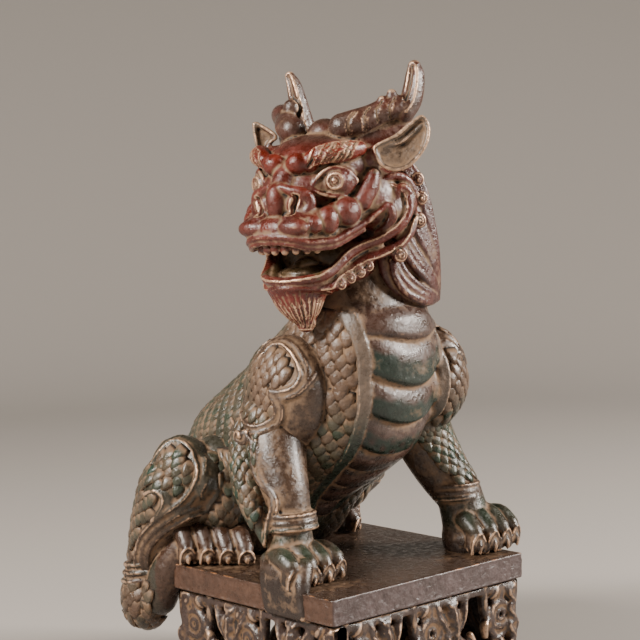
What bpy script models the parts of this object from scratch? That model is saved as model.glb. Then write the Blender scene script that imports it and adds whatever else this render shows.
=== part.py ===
"""A seated qilin cast in one piece with its slab, on a pierced scrollwork pedestal.

The frame is the pedestal's: +Z up, origin at the middle of its underside, and the slab's front edge
towards -Y. The figure's chest faces -Y and its head is turned to its own right, towards -X. Every form
of the figure is written in millimetres from the middle of the slab's top, and every form of the head in
millimetres from the middle of the skull, so each has a placing matrix of its own.
"""

from math import cos, pi, radians, sin

import bmesh
import bpy
import numpy as np
from mathutils import Euler, Matrix, Vector
from mathutils.bvhtree import BVHTree

# Driving dimensions, in metres
SLAB_WIDTH = 0.100
SLAB_DEPTH = 0.0883
SLAB_THICK = 0.0104
PLINTH_INSET = 0.0015
PLINTH_HEIGHT = 0.044
PLINTH_WALL = 0.005
JOINT_GAP = 0.0003

# How finely the two castings are skinned, in metres, and how many triangles each keeps
FIGURE_VOXEL = 0.0010
FIGURE_TRIANGLES = 7080
PLINTH_VOXEL = 0.0011
PLINTH_TRIANGLES = 2250

MM = 0.001
SLAB_TOP = PLINTH_HEIGHT + JOINT_GAP + SLAB_THICK
FIGURE_PLACE = Matrix.Translation((0, 0, SLAB_TOP)) @ Matrix.Scale(MM, 4)

# The head, in millimetres and degrees: where the skull's middle is, and how the head is turned
HEAD_MIDDLE = (-6, -5, 143)
HEAD_TURN = -79
HEAD_LEAN = -1.5
HEAD_PLACE = (
    FIGURE_PLACE
    @ Matrix.Translation(HEAD_MIDDLE)
    @ Matrix.Rotation(radians(HEAD_TURN), 4, "Z")
    @ Matrix.Rotation(radians(HEAD_LEAN), 4, "Y")
)


def clear_scene():
    for obj in list(bpy.data.objects):
        bpy.data.objects.remove(obj, do_unlink=True)


def new_collection(name):
    collection = bpy.data.collections.new(name)
    bpy.context.scene.collection.children.link(collection)
    return collection


def material(name, colour, roughness, metallic):
    made = bpy.data.materials.new(name)
    made.use_nodes = True
    shader = made.node_tree.nodes["Principled BSDF"]
    shader.inputs["Base Color"].default_value = (*colour, 1)
    shader.inputs["Roughness"].default_value = roughness
    shader.inputs["Metallic"].default_value = metallic
    return made


def smooth_path(points, steps=6):
    """Points along a Catmull-Rom curve through the given ones, with their last value column kept."""
    p = np.array(points, float)
    ends = np.vstack([2 * p[0] - p[1], p, 2 * p[-1] - p[-2]])
    out = []
    for a, b, c, d in zip(ends[:-3], ends[1:-2], ends[2:-1], ends[3:]):
        for t in np.arange(steps) / steps:
            out.append(
                0.5
                * (
                    2 * b
                    + (c - a) * t
                    + (2 * a - 5 * b + 4 * c - d) * t**2
                    + (3 * b - a - 3 * c + d) * t**3
                )
            )
    out.append(p[-1])
    return np.array(out)


class Clay:
    """Overlapping closed forms, in one mesh, that a voxel remesh later makes into a single skin."""

    def __init__(self):
        self.bm = bmesh.new()
        one = bmesh.new()
        bmesh.ops.create_uvsphere(one, u_segments=24, v_segments=14, radius=1)
        self.unit_ball = bpy.data.meshes.new("unit_ball")
        one.to_mesh(self.unit_ball)
        one.free()

    def ball(self, place, centre, radii, turn=(0, 0, 0)):
        angles = Euler([radians(a) for a in turn])
        mesh = self.unit_ball.copy()
        mesh.transform(place @ Matrix.LocRotScale(Vector(centre), angles, Vector(radii)))
        self.bm.from_mesh(mesh)
        bpy.data.meshes.remove(mesh)

    def box(self, place, centre, size):
        matrix = place @ Matrix.LocRotScale(Vector(centre), None, Vector(size))
        bmesh.ops.create_cube(self.bm, size=1, matrix=matrix)

    def tube(self, place, points, steps=5):
        """A round bar through (x, y, z, radius) points, made as a curve with a bevel."""
        path = smooth_path(points, steps)
        curve = bpy.data.curves.new("bar", "CURVE")
        curve.dimensions = "3D"
        curve.bevel_depth = 1
        curve.bevel_resolution = 3
        curve.use_fill_caps = True
        spline = curve.splines.new("POLY")
        spline.points.add(len(path) - 1)
        for point, (x, y, z, radius) in zip(spline.points, path):
            point.co = (x, y, z, 1)
            point.radius = max(radius, 0.05)
        bar = bpy.data.objects.new("bar", curve)
        bpy.context.scene.collection.objects.link(bar)
        bpy.context.view_layer.update()
        mesh = bpy.data.meshes.new_from_object(bar.evaluated_get(bpy.context.evaluated_depsgraph_get()))
        mesh.transform(place)
        self.bm.from_mesh(mesh)
        bpy.data.meshes.remove(mesh)
        bpy.data.curves.remove(curve)

    def bead(self, place, points, steps=5):
        """A bar with a round end at each of its points' ends."""
        self.tube(place, points, steps)
        for x, y, z, radius in (points[0], points[-1]):
            self.ball(place, (x, y, z), (radius, radius, radius))

    def loft(self, place, stations, squareness=2.5, around=32):
        """A closed skin over level sections, each (z, middle y, half depth, half width)."""
        rings = []
        power = 2 / squareness
        for z, middle, depth, width in smooth_path(stations, 3):
            ring = []
            for k in range(around):
                angle = 2 * pi * k / around
                x = width * np.sign(cos(angle)) * abs(cos(angle)) ** power
                y = middle + depth * np.sign(sin(angle)) * abs(sin(angle)) ** power
                ring.append(self.bm.verts.new(place @ Vector((x, y, z))))
            rings.append(ring)
        for low, high in zip(rings, rings[1:]):
            for k in range(around):
                n = (k + 1) % around
                self.bm.faces.new((low[k], low[n], high[n], high[k]))
        self.bm.faces.new(reversed(rings[0]))
        self.bm.faces.new(rings[-1])

    def surface(self):
        return BVHTree.FromBMesh(self.bm)

    def mesh(self, name):
        made = bpy.data.meshes.new(name)
        self.bm.to_mesh(made)
        self.bm.free()
        bpy.data.meshes.remove(self.unit_ball)
        return made


# How far outside a point the search for the surface under it begins, in metres
LAYING_DISTANCE = 0.2


def laid_on(surface, place, points, looking):
    """Moves each point of a path along the looking direction until it meets the surface."""
    back = place.inverted()
    direction = (place.to_3x3() @ Vector(looking)).normalized()
    laid = []
    for x, y, z, radius in points:
        start = place @ Vector((x, y, z)) - direction * LAYING_DISTANCE
        hit = surface.ray_cast(start, direction)[0]
        if hit is not None:
            local = back @ hit
            laid.append((local.x, local.y, local.z, radius))
    return laid


# The body: level sections from the rump behind the slab up to the neck
TRUNK = [
    (-7, 58, 12, 18),
    (2, 50, 24, 28),
    (12, 48, 31, 32),
    (22, 44, 36, 34),
    (32, 36, 43, 34),
    (42, 26, 47, 33),
    (52, 19, 47, 32),
    (62, 10, 42, 30),
    (72, 2, 35, 28),
    (82, -5, 29, 26),
    (92, -10, 23, 23),
    (102, -9, 20, 20),
    (114, -7, 17, 17),
    (128, -6, 14, 14),
]

# The belly's middle line, from the throat down and back between the legs: y, z, half width
BELLY_LINE = [
    (-31, 97, 22),
    (-33.5, 90, 21),
    (-34.5, 80, 20.5),
    (-33, 67, 19.5),
    (-29, 53, 17.5),
    (-21, 40, 14.5),
    (-12, 31, 12),
    (-2, 25, 10),
    (8, 20, 8),
    (16, 14, 6),
]
BELLY_PLATES = 8
BELLY_PLATE_THICK = 4.4


def add_trunk(clay):
    clay.loft(FIGURE_PLACE, TRUNK)


def add_forelegs(clay):
    place = FIGURE_PLACE
    clay.ball(place, (-28, 0, 65), (13, 18, 22), (10, 0, 0))
    clay.tube(
        place,
        [(-31, 4, 56, 14), (-36, -2, 42, 11), (-38, -9, 30, 8), (-38, -11, 18, 7), (-38, -10, 8, 9)],
    )
    clay.bead(place, [(-42, 10, 46, 6), (-46, 6, 36, 5.5), (-47, 2, 27, 4), (-46, -1, 18, 1.2)])
    clay.bead(place, [(39, 6, 46, 6), (43, -1, 35, 5), (44, -8, 26, 3.5), (45, -13, 19, 1.2)])
    clay.ball(place, (31, -11, 69), (15, 18, 22))
    clay.tube(
        place,
        [(29, -6, 56, 14), (33, -7, 42, 11.5), (37, -14, 30, 10), (40, -22, 20, 9), (41, -24, 9, 10)],
    )


def add_paw(clay, middle_x, back_y, front_y, width, height):
    """A forepaw: a low pad with four arched toes that point towards -Y."""
    place = FIGURE_PLACE @ Matrix.Translation((middle_x, back_y, 0))
    reach = back_y - front_y
    clay.ball(place, (0, -reach * 0.38, 5), (width * 0.47, reach * 0.5, 7.5))
    toe = width / 8
    for k in range(4):
        x = width * (k - 1.5) / 4
        drop = 1.2 * abs(k - 1.5)
        clay.bead(
            place,
            [
                (x * 0.7, -reach * 0.30, height - 5 - drop, toe),
                (x * 0.95, -reach * 0.62, height - 3.5 - drop, toe * 1.12),
                (x, -reach * 0.86 + drop, height * 0.42, toe * 1.08),
                (x, -reach * 0.95 + drop, 2.6, toe * 0.8),
            ],
        )


def add_hind_leg(clay, side, tuck):
    """A haunch, its hock hanging behind the slab, and a hind paw that is tucked back by some millimetres.

    The side is -1 for the figure's right and 1 for its left.
    """
    place = FIGURE_PLACE @ Matrix.Diagonal((-side, 1, 1, 1))
    clay.tube(
        place,
        [
            (-43, 34, 33, 9),
            (-45, 43, 28, 14.5),
            (-47, 53, 15, 11),
            (-47, 61, 0, 8),
            (-47, 64, -14, 8.5),
            (-47, 65, -21, 8),
        ],
    )
    clay.ball(place, (-45, 41, 33), (11, 13, 15))
    clay.ball(place, (-47, 64, -17), (9, 10, 12))
    clay.tube(
        place,
        [(-47, 56, -16, 7), (-46, 50 + tuck / 3, -4, 7.5), (-44, 42 + tuck / 2, 5, 7), (-42, 32 + tuck, 7, 8)],
    )
    for k, x in enumerate([-49, -43.5, -38.5, -33.5]):
        y = 36 - 5.4 * k + tuck
        rise = 12 - 0.8 * k
        clay.bead(
            place,
            [
                (x + 3, y + 12, rise * 0.7, 3.4),
                (x + 1, y + 5, rise, 3.8),
                (x, y, rise * 0.6, 3.4),
                (x, y - 2, 2.4, 2.6),
            ],
        )


def add_tail(clay):
    """The tail lies curled up the back, on the side away from the head's gaze."""
    clay.tube(
        FIGURE_PLACE,
        [(4, 74, 4, 7), (12, 80, 22, 7.5), (18, 72, 40, 7), (12, 58, 54, 6), (2, 50, 60, 4), (-2, 52, 66, 1.5)],
    )


def belly_point(t):
    """The belly's middle line at t from 0 to 1: y, z and half width, and its direction in y and z."""
    line = smooth_path(BELLY_LINE, 8)
    place = t * (len(line) - 1)
    k = min(int(place), len(line) - 2)
    step = line[k + 1] - line[k]
    return line[k] + step * (place - k), step[:2] / np.hypot(step[0], step[1])


def plate_edge(k):
    """Where cross plate k begins along the belly; the plates get shorter towards the legs."""
    return 1 - (1 - k / BELLY_PLATES) ** 1.25


def add_belly(clay, surface):
    """Overlapping cross plates down the middle, between two plain straps."""
    for k in range(BELLY_PLATES):
        start, end = plate_edge(k), plate_edge(k + 1)
        (y, z, half), (dy, dz) = belly_point((start + end) / 2)
        (y0, z0, _), _ = belly_point(start)
        (y1, z1, _), _ = belly_point(end)
        length = np.hypot(y1 - y0, z1 - z0) * 0.62
        lean = np.degrees(np.arctan2(-dy, -dz)) + 12
        clay.ball(FIGURE_PLACE, (0, y + 2.0, z), (half - 1, BELLY_PLATE_THICK, length), (-lean, 0, 0))
    for side in (-1, 1):
        strap = [(side * 23.5, -20, 104, 1.8)]
        for t in np.linspace(0, 0.95, 14):
            (y, z, half), _ = belly_point(t)
            strap.append((side * (half + 0.5), y, z, 1.8))
        clay.bead(FIGURE_PLACE, laid_on(surface, FIGURE_PLACE, strap, (0, 1, 0.1)), 2)


# Raised rims as seen square on from the figure's side: y, z, half thickness
SHOULDER_RIM = [
    (6, 86, 1.2),
    (-4, 87, 1.5),
    (-13, 81, 1.5),
    (-16, 74, 1.5),
    (-9, 68, 1.5),
    (-2, 69, 1.4),
    (-2, 64, 1.4),
    (-5, 60, 1.6),
    (1, 54, 1.6),
    (9, 55, 1.5),
    (15, 58, 1.5),
    (19, 52, 1.4),
    (17, 46, 1.4),
    (12, 48, 1.3),
]
HAUNCH_RIM = [
    (62, 22, 1.2),
    (54, 37, 1.3),
    (43, 44, 1.5),
    (33, 41, 1.5),
    (30, 32, 1.5),
    (35, 24, 1.5),
    (47, 15, 1.6),
    (58, 6, 1.6),
    (62, -4, 1.6),
    (58, -14, 1.4),
]
THIGH_FOLD = [(63, 4, 1.2), (57, 14, 1.4), (51, 22, 1.4), (50, 28, 1.2), (54, 31, 1.0)]


def add_rims(clay, surface):
    """The scrolled edge of each shoulder's scaled cuff, and the rims of each haunch."""
    for side in (-1, 1):
        for rim in (SHOULDER_RIM, HAUNCH_RIM, THIGH_FOLD):
            path = [(side * 80, y, z, radius) for y, z, radius in rim]
            laid = laid_on(surface, FIGURE_PLACE, path, (-side, 0, 0))
            clay.bead(FIGURE_PLACE, laid, 4)


def add_skull(clay):
    place = HEAD_PLACE
    clay.ball(place, (0, 4, 1), (23, 25, 19))
    clay.ball(place, (0, 13, -14), (24.5, 20, 26))
    clay.ball(place, (0, -18, -6), (15, 18, 12))
    clay.ball(place, (0, -7, 17), (6, 7, 6.5))
    for sign in (-1, 1):
        clay.ball(place, (sign * 19, -4, -8), (10, 16, 12))
        clay.ball(place, (sign * 22, -11, -6), (5, 5, 5))
        clay.ball(place, (sign * 14.3, -22, -1.5), (5.4, 5.4, 5.0))
        clay.bead(
            place,
            [
                (sign * 3.5, -33, 5.5, 3.0),
                (sign * 9, -30, 8, 4.8),
                (sign * 14.5, -24.5, 9.5, 5.4),
                (sign * 19, -18, 9.5, 4.2),
                (sign * 22.5, -12, 8, 1.6),
            ],
        )


# The swellings above the mouth, from beside the nose back to the cheek: x, y, z, radius
LIP_BULGES = [(6.5, -39.5, -14.5, 6.2), (12.5, -33, -13.5, 6.3), (17.5, -25, -11.5, 6), (21, -16, -9, 5.4)]


def add_nose_and_lips(clay):
    place = HEAD_PLACE
    clay.bead(place, [(0, -24, 6, 4.5), (0, -30, 1, 5), (0, -36.5, -5, 6)])
    for sign in (-1, 1):
        clay.ball(place, (sign * 8.5, -33, -7.5), (5.0, 4.6, 3.8))
        for x, y, z, r in LIP_BULGES:
            clay.ball(place, (sign * x, y, z), (r, r, r * 0.85))
        clay.bead(
            place,
            [
                (0, -44, -19, 2.4),
                (sign * 9, -42, -19.5, 2.4),
                (sign * 14.5, -35, -19, 2.4),
                (sign * 18.5, -27, -18, 2.3),
                (sign * 22, -18, -14.5, 2.2),
                (sign * 25, -9, -10, 2.0),
            ],
        )


JAW_TUFTS = 5
UPPER_TEETH = 8
BEARD_LOCKS = 7


def add_jaw(clay):
    """The open lower jaw, with a lip round it, a tongue, upper teeth and a tuft of beard."""
    place = HEAD_PLACE
    clay.ball(place, (0, -15, -34), (13, 19, 5))
    clay.ball(place, (0, -16, -27.5), (8, 14, 3.4))
    for sign in (-1, 1):
        clay.bead(
            place,
            [
                (0, -35.5, -33, 3.2),
                (sign * 8, -33, -33, 3.4),
                (sign * 14, -25, -31, 4.0),
                (sign * 19, -14, -26, 4.6),
                (sign * 25, -4, -18.5, 5.2),
                (sign * 28, 5, -11, 5.0),
            ],
        )
        for k in range(JAW_TUFTS):
            x, y = 14 + 2.6 * k, -24 + 4.4 * k
            top = (sign * x, y, -35 + 1.6 * k, 2.4)
            tip = (sign * (x - 1), y + 4, -39.5 + 1.8 * k, 1.3)
            clay.bead(place, [top, tip])
    for k in range(UPPER_TEETH):
        angle = radians(-62 + 124 * k / (UPPER_TEETH - 1))
        clay.ball(place, (13 * sin(angle), -24.5 - 13.5 * cos(angle), -22.5), (2.0, 1.9, 2.6))
    for k in range(BEARD_LOCKS):
        x = 3.5 * (k - (BEARD_LOCKS - 1) / 2)
        clay.bead(
            place,
            [(x, -32 + abs(x) * 0.25, -35, 3.0), (x * 0.75, -31, -43, 2.8), (x * 0.3 + 1, -28, -51, 1.5)],
        )


def add_ears_and_horns(clay):
    place = HEAD_PLACE
    for sign in (-1, 1):
        base = Vector((sign * 24, -12, 4.5))
        tip = Vector((sign * 38, 1.5, 20))
        along = (tip - base).normalized()
        facing = Vector((sign * 0.6, -0.78, 0.2)).normalized()
        across = along.cross(facing).normalized()
        rim = []
        for k in range(17):
            angle = 2 * pi * k / 16
            bulge = sin(angle) * (0.70 + 0.15 * cos(angle))
            point = base + (tip - base) * (0.5 - 0.5 * cos(angle)) + across * bulge * 10.5
            rim.append((*point, 1.4))
        clay.bead(place, rim, 2)
        turn = Matrix((across, along, facing)).transposed().to_euler()
        clay.ball(
            place,
            (base + tip) / 2 - facing * 1.5,
            (7.6, 11.6, 2.2),
            [180 / pi * a for a in turn],
        )
        clay.bead(
            place,
            [
                (sign * 13, -9, 17, 6.2),
                (sign * 19, -2, 21, 6.2),
                (sign * 24, 7, 23.5, 5.0),
                (sign * 27, 11.5, 27, 4.6),
                (sign * 28.5, 13.5, 34, 3.3),
                (sign * 28.5, 12.5, 41, 1.6),
            ],
        )
        clay.ball(place, (sign * 24, 2, 28.5), (3.2, 3.2, 3.2))


SIDE_LOCKS = 5
BACK_LOCKS = 7

# The uppermost and lowest side locks: x, y, z, radius
TOP_LOCK = [
    (26, 6, 6, 3.0),
    (28.5, 14, -6, 3.7),
    (28.5, 20, -20, 3.7),
    (26.5, 26, -34, 3.2),
    (23, 32, -47, 1.6),
]
LOW_LOCK = [
    (26, -6, -26, 3.0),
    (27.5, 0, -35, 3.7),
    (27.5, 9, -43, 3.7),
    (26, 20, -49, 3.2),
    (23, 31, -52, 1.6),
]


CHEEK_CURLS = [(29, -1, 0, 3.8), (30, 1, -18, 4.2), (27, -5, -29, 3.8)]


def add_mane(clay):
    """Locks that sweep back and down from the jaw and cheeks, and others down the back of the head."""
    place = HEAD_PLACE
    for sign in (-1, 1):
        for k in range(SIDE_LOCKS):
            t = k / (SIDE_LOCKS - 1)
            lock = np.array(TOP_LOCK) * (1 - t) + np.array(LOW_LOCK) * t
            clay.bead(place, lock * (sign, 1, 1, 1))
        for x, y, z, r in CHEEK_CURLS:
            clay.ball(place, (sign * x, y, z), (r, r, r))
        curl = [(sign * 28.5, -4 + 6.5 * cos(a), -9 + 8.5 * sin(a), 2.2) for a in np.linspace(-0.4, 3.9, 9)]
        clay.bead(place, curl, 3)
    for k in range(BACK_LOCKS):
        angle = radians(-56 + 112 * k / (BACK_LOCKS - 1))
        s, c = sin(angle), cos(angle)
        clay.bead(
            place,
            [
                (s * 16, 8 + c * 10, 14, 3.4),
                (s * 22, 8 + c * 20, -2, 4.0),
                (s * 23, 8 + c * 24, -22, 4.0),
                (s * 22, 9 + c * 25, -40, 3.4),
                (s * 20, 10 + c * 25, -50, 1.6),
            ],
        )


def figure_clay():
    clay = Clay()
    add_trunk(clay)
    add_forelegs(clay)
    add_hind_leg(clay, -1, 0)
    add_hind_leg(clay, 1, 12)
    add_tail(clay)
    body = clay.surface()
    add_belly(clay, body)
    add_rims(clay, body)
    add_paw(clay, -38, 0, -28.5, 28, height=15.5)
    add_paw(clay, 44, -12, -40.5, 27, height=18)
    add_skull(clay)
    add_nose_and_lips(clay)
    add_jaw(clay)
    add_ears_and_horns(clay)
    add_mane(clay)
    return clay


def skinned(obj, voxel, triangles, smoothing=2):
    """Fuses an object's overlapping forms into one skin and thins it to about a number of triangles."""
    remesh = obj.modifiers.new("Fuse the forms", "REMESH")
    remesh.mode = "VOXEL"
    remesh.voxel_size = voxel
    soften = obj.modifiers.new("Soften the joins", "SMOOTH")
    soften.factor = 0.5
    soften.iterations = smoothing
    evaluated = obj.evaluated_get(bpy.context.evaluated_depsgraph_get())
    found = sum(len(p.vertices) - 2 for p in evaluated.data.polygons)
    thin = obj.modifiers.new("Thin the skin", "DECIMATE")
    thin.ratio = triangles / found


def build_figure(parts, cutters, finish):
    figure = bpy.data.objects.new("qilin_on_slab", figure_clay().mesh("qilin_on_slab"))
    parts.objects.link(figure)
    figure.data.materials.append(finish)
    skinned(figure, FIGURE_VOXEL, FIGURE_TRIANGLES)
    x, y = SLAB_WIDTH / 2, SLAB_DEPTH / 2
    slab = block("slab_block", (-x, -y, SLAB_TOP - SLAB_THICK), (x, y, SLAB_TOP), cutters)
    joined(figure, "Stand on the slab", slab)


PLINTH_FLOOR = 3.0
PLINTH_RAIL = 2.6
PLINTH_BASE_RIM = 7.0
CELL_WIDTH = 18.0


def add_scroll_cell(clay, place, flip):
    """One repeat of the pierced band: a leaf with two lobes on a ringed scroll, upright or hung."""
    low = PLINTH_BASE_RIM
    high = PLINTH_HEIGHT / MM
    middle = (low + high) / 2
    turned = place @ Matrix.Translation((0, 0, middle)) @ Matrix.Diagonal((1, 1, flip, 1))
    reach = (high - low) / 2
    clay.ball(turned, (0, -0.8, 9.5), (3.4, 2.4, 9))
    for sign in (-1, 1):
        clay.ball(turned, (sign * 5.4, -0.4, 10), (2.2, 2.0, 8), (0, sign * 24, 0))
        clay.bead(turned, [(sign * 1.5, 0, 2, 1.9), (sign * 6, 0, -4, 1.7), (sign * 9.2, 0, -reach, 2.0)])
    ring = [(4.6 * sin(a), -0.5, -6.5 + 4.8 * cos(a), 1.7) for a in np.linspace(0, 2 * pi, 10)]
    clay.bead(turned, ring, 2)
    clay.ball(turned, (0, 0, -14), (2.4, 1.8, 5))


def plinth_clay():
    clay = Clay()
    place = Matrix.Scale(MM, 4)
    width = (SLAB_WIDTH - 2 * PLINTH_INSET) / MM
    depth = (SLAB_DEPTH - 2 * PLINTH_INSET) / MM
    wall = PLINTH_WALL / MM
    high = PLINTH_HEIGHT / MM
    for k, (length, away) in enumerate([(width, depth), (depth, width)] * 2):
        side = place @ Matrix.Rotation(k * pi / 2, 4, "Z") @ Matrix.Translation((0, -(away - wall) / 2, 0))
        clay.box(side, (0, 0, high - PLINTH_RAIL / 2 - 0.4), (length, wall, PLINTH_RAIL))
        clay.box(side, (0, 0, PLINTH_BASE_RIM / 2 + 0.4), (length, wall, PLINTH_BASE_RIM))
        clay.box(side, ((length - wall) / 2, 0, high / 2), (wall, wall, high - 2))
        cells = round(length / CELL_WIDTH)
        for n in range(cells):
            x = ((n + 0.5) / cells - 0.5) * (length - wall)
            add_scroll_cell(clay, side @ Matrix.Translation((x, 0, 0)), 1 if n % 2 else -1)
    return clay


def block(name, low, high, cutters):
    """A plain rectangular block between two corners, kept as a guide for a Boolean."""
    mesh = bpy.data.meshes.new(name)
    shape = bmesh.new()
    size = Vector(high) - Vector(low)
    middle = (Vector(high) + Vector(low)) / 2
    bmesh.ops.create_cube(shape, size=1, matrix=Matrix.LocRotScale(middle, None, size))
    shape.to_mesh(mesh)
    shape.free()
    made = bpy.data.objects.new(name, mesh)
    made.hide_render = True
    made.display_type = "WIRE"
    cutters.objects.link(made)
    return made


def joined(obj, name, tool, operation="UNION"):
    step = obj.modifiers.new(name, "BOOLEAN")
    step.operation = operation
    step.object = tool


def build_plinth(parts, cutters, finish):
    plinth = bpy.data.objects.new("openwork_plinth", plinth_clay().mesh("openwork_plinth"))
    parts.objects.link(plinth)
    plinth.data.materials.append(finish)
    skinned(plinth, PLINTH_VOXEL, PLINTH_TRIANGLES)
    x, y = SLAB_WIDTH / 2 - PLINTH_INSET, SLAB_DEPTH / 2 - PLINTH_INSET
    floor = block("floor_plate", (-x, -y, 0), (x, y, PLINTH_FLOOR * MM), cutters)
    joined(plinth, "Close the floor", floor)
    above = block("above_plinth", (-2 * x, -2 * y, PLINTH_HEIGHT), (2 * x, 2 * y, 2 * PLINTH_HEIGHT), cutters)
    joined(plinth, "Level the top", above, "DIFFERENCE")


def main():
    clear_scene()
    parts = new_collection("qilin_figure")
    cutters = new_collection("cutters")
    bronze = material("lacquered_bronze", (0.10, 0.05, 0.03), 0.42, 0.5)
    earth = material("worn_bronze", (0.13, 0.07, 0.035), 0.5, 0.5)
    build_figure(parts, cutters, bronze)
    build_plinth(parts, cutters, earth)


main()
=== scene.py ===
"""The seated qilin on its pierced pedestal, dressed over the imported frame.

All forms are in millimetres until they are placed: the figure's from the middle of the slab's top, the
head's from the middle of the skull. The row frame is +Z up, from the middle of the pedestal's underside.
"""

from math import cos, pi, radians, sin

import bpy
import numpy as np
from mathutils import Euler, Matrix, Vector
from mathutils.bvhtree import BVHTree


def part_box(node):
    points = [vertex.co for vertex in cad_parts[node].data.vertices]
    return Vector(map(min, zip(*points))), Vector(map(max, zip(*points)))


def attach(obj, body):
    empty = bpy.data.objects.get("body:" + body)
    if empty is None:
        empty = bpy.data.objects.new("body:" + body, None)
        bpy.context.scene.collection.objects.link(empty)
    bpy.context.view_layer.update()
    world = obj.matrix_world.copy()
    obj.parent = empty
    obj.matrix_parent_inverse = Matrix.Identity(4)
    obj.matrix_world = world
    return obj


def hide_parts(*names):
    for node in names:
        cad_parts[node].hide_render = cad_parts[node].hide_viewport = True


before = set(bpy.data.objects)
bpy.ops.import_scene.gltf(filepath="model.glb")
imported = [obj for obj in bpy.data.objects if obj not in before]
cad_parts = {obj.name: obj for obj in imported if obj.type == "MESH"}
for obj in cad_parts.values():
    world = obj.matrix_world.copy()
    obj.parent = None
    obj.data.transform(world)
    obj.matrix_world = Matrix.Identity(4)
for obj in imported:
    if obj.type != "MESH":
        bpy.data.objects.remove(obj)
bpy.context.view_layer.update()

# The pierced pedestal
# A bronze casting: a plain foot and a thin rail joined by leaf sprays and ringed scrolls with open
# gaps between them. It is brown, with ochre earth packed in the piercings, painted shade near black in
# their deepest hollows, and rubbed bright leaf edges.

MM = 0.001
PEDESTAL_SIZE = (97.0, 85.3, 44.0)
PEDESTAL_WALL = 5.0
PEDESTAL_FOOT = 7.0
PEDESTAL_RAIL = 2.6
PEDESTAL_FLOOR = 3.0
PEDESTAL_CELL = 18.0
PEDESTAL_VOXEL = 0.82
PEDESTAL_PLACE = Matrix.Scale(MM, 4)


def smooth_path(points, steps):
    """Points along a Catmull-Rom curve through the given ones; radii are smoothed with the places."""
    p = np.array(points, float)
    ends = np.vstack([2 * p[0] - p[1], p, 2 * p[-1] - p[-2]])
    t = np.arange(steps)[:, None] / steps
    runs = [
        0.5 * (2 * b + (c - a) * t + (2 * a - 5 * b + 4 * c - d) * t**2 + (3 * b - a - 3 * c + d) * t**3)
        for a, b, c, d in zip(ends[:-3], ends[1:-2], ends[2:-1], ends[3:])
    ]
    return np.vstack([*runs, p[-1:]])


def directions(path):
    """Unit steps along a path, one for each of its points."""
    step = np.gradient(path, axis=0)
    return step / np.maximum(np.linalg.norm(step, axis=1, keepdims=True), 1e-9)


def carried(points, matrix):
    """Rows of points moved by a 4 by 4 matrix."""
    matrix = np.array(matrix)
    return points @ matrix[:3, :3].T + matrix[:3, 3]


def ring_faces(count, around):
    """The faces of a closed skin over a number of rings, each of as many points."""
    faces = [
        (k * around + n, k * around + m, (k + 1) * around + m, (k + 1) * around + n)
        for k in range(count - 1)
        for n, m in zip(range(around), [*range(1, around), 0])
    ]
    return [*faces, tuple(reversed(range(around))), tuple(range((count - 1) * around, count * around))]


def select_only(piece):
    bpy.ops.object.select_all(action="DESELECT")
    piece.select_set(True)
    bpy.context.view_layer.objects.active = piece


# A small and a large ball are modelled, and every rounded form is a stretched copy of one of them
SMALL_BALL = 3.5
BALLS = []
for around, rings in ((14, 8), (40, 24)):
    bpy.ops.object.select_all(action="DESELECT")
    bpy.ops.mesh.primitive_uv_sphere_add(segments=around, ring_count=rings, radius=1)
    pattern = bpy.context.object
    BALLS.append(
        (np.array([v.co for v in pattern.data.vertices]), [tuple(p.vertices) for p in pattern.data.polygons])
    )
    bpy.data.objects.remove(pattern)


class Wax:
    """Overlapping closed forms, gathered as a modeller adds wax, until they are fused into one skin."""

    def __init__(self, place):
        self.place = place
        self.points = []
        self.faces = []
        self.count = 0

    def add(self, points, faces):
        self.points.append(np.asarray(points, float))
        self.faces += [tuple(i + self.count for i in face) for face in faces]
        self.count += len(points)

    def ball(self, centre, radii, turn=(0, 0, 0)):
        grow = Matrix.LocRotScale(Vector(centre), Euler([radians(a) for a in turn]), Vector(radii))
        points, faces = BALLS[int(max(radii) > SMALL_BALL)]
        self.add(carried(points, grow), faces)

    def bar(self, points, steps=4):
        """A round bar through (x, y, z, radius) points, with rounded ends."""
        path = smooth_path(points, steps)
        sides = int(8 + 1.8 * path[:, 3].max())
        middle, radius = path[:, :3], np.maximum(path[:, 3], 0.1)
        along = directions(middle)
        across = np.cross(along[0], (0.3, 0.5, 0.8))
        rings = []
        angles = np.linspace(0, 2 * pi, sides, endpoint=False)
        for place, step, size in zip(middle, along, radius):
            across = across - step * (across @ step)
            across /= np.linalg.norm(across)
            up = np.cross(step, across)
            rings.append(place + size * (np.outer(np.cos(angles), across) + np.outer(np.sin(angles), up)))
        self.add(np.vstack(rings), ring_faces(len(rings), sides))
        for end in (0, -1):
            self.ball(middle[end], [radius[end]] * 3)

    def box(self, centre, size):
        corners = [(x, y, z) for x in (-0.5, 0.5) for y in (-0.5, 0.5) for z in (-0.5, 0.5)]
        faces = [(0, 1, 3, 2), (4, 6, 7, 5), (0, 4, 5, 1), (2, 3, 7, 6), (0, 2, 6, 4), (1, 5, 7, 3)]
        self.add(np.array(corners) * size + centre, faces)

    def placed(self):
        return carried(np.vstack(self.points), self.place)

    def surface(self):
        return BVHTree.FromPolygons([tuple(p) for p in self.placed()], self.faces)


def gathered(name, lumps):
    """One object of several lumps of wax."""
    faces, count = [], 0
    for lump in lumps:
        faces += [tuple(i + count for i in face) for face in lump.faces]
        count += lump.count
    mesh = bpy.data.meshes.new(name)
    mesh.from_pydata(np.vstack([lump.placed() for lump in lumps]), [], faces)
    piece = bpy.data.objects.new(name, mesh)
    bpy.context.collection.objects.link(piece)
    return piece


def shaped(piece, kind, **settings):
    """Gives the active object a modifier with its settings, and applies it."""
    step = piece.modifiers.new(kind.title(), kind)
    for name, value in settings.items():
        setattr(step, name, value)
    bpy.ops.object.modifier_apply(modifier=step.name)


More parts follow.
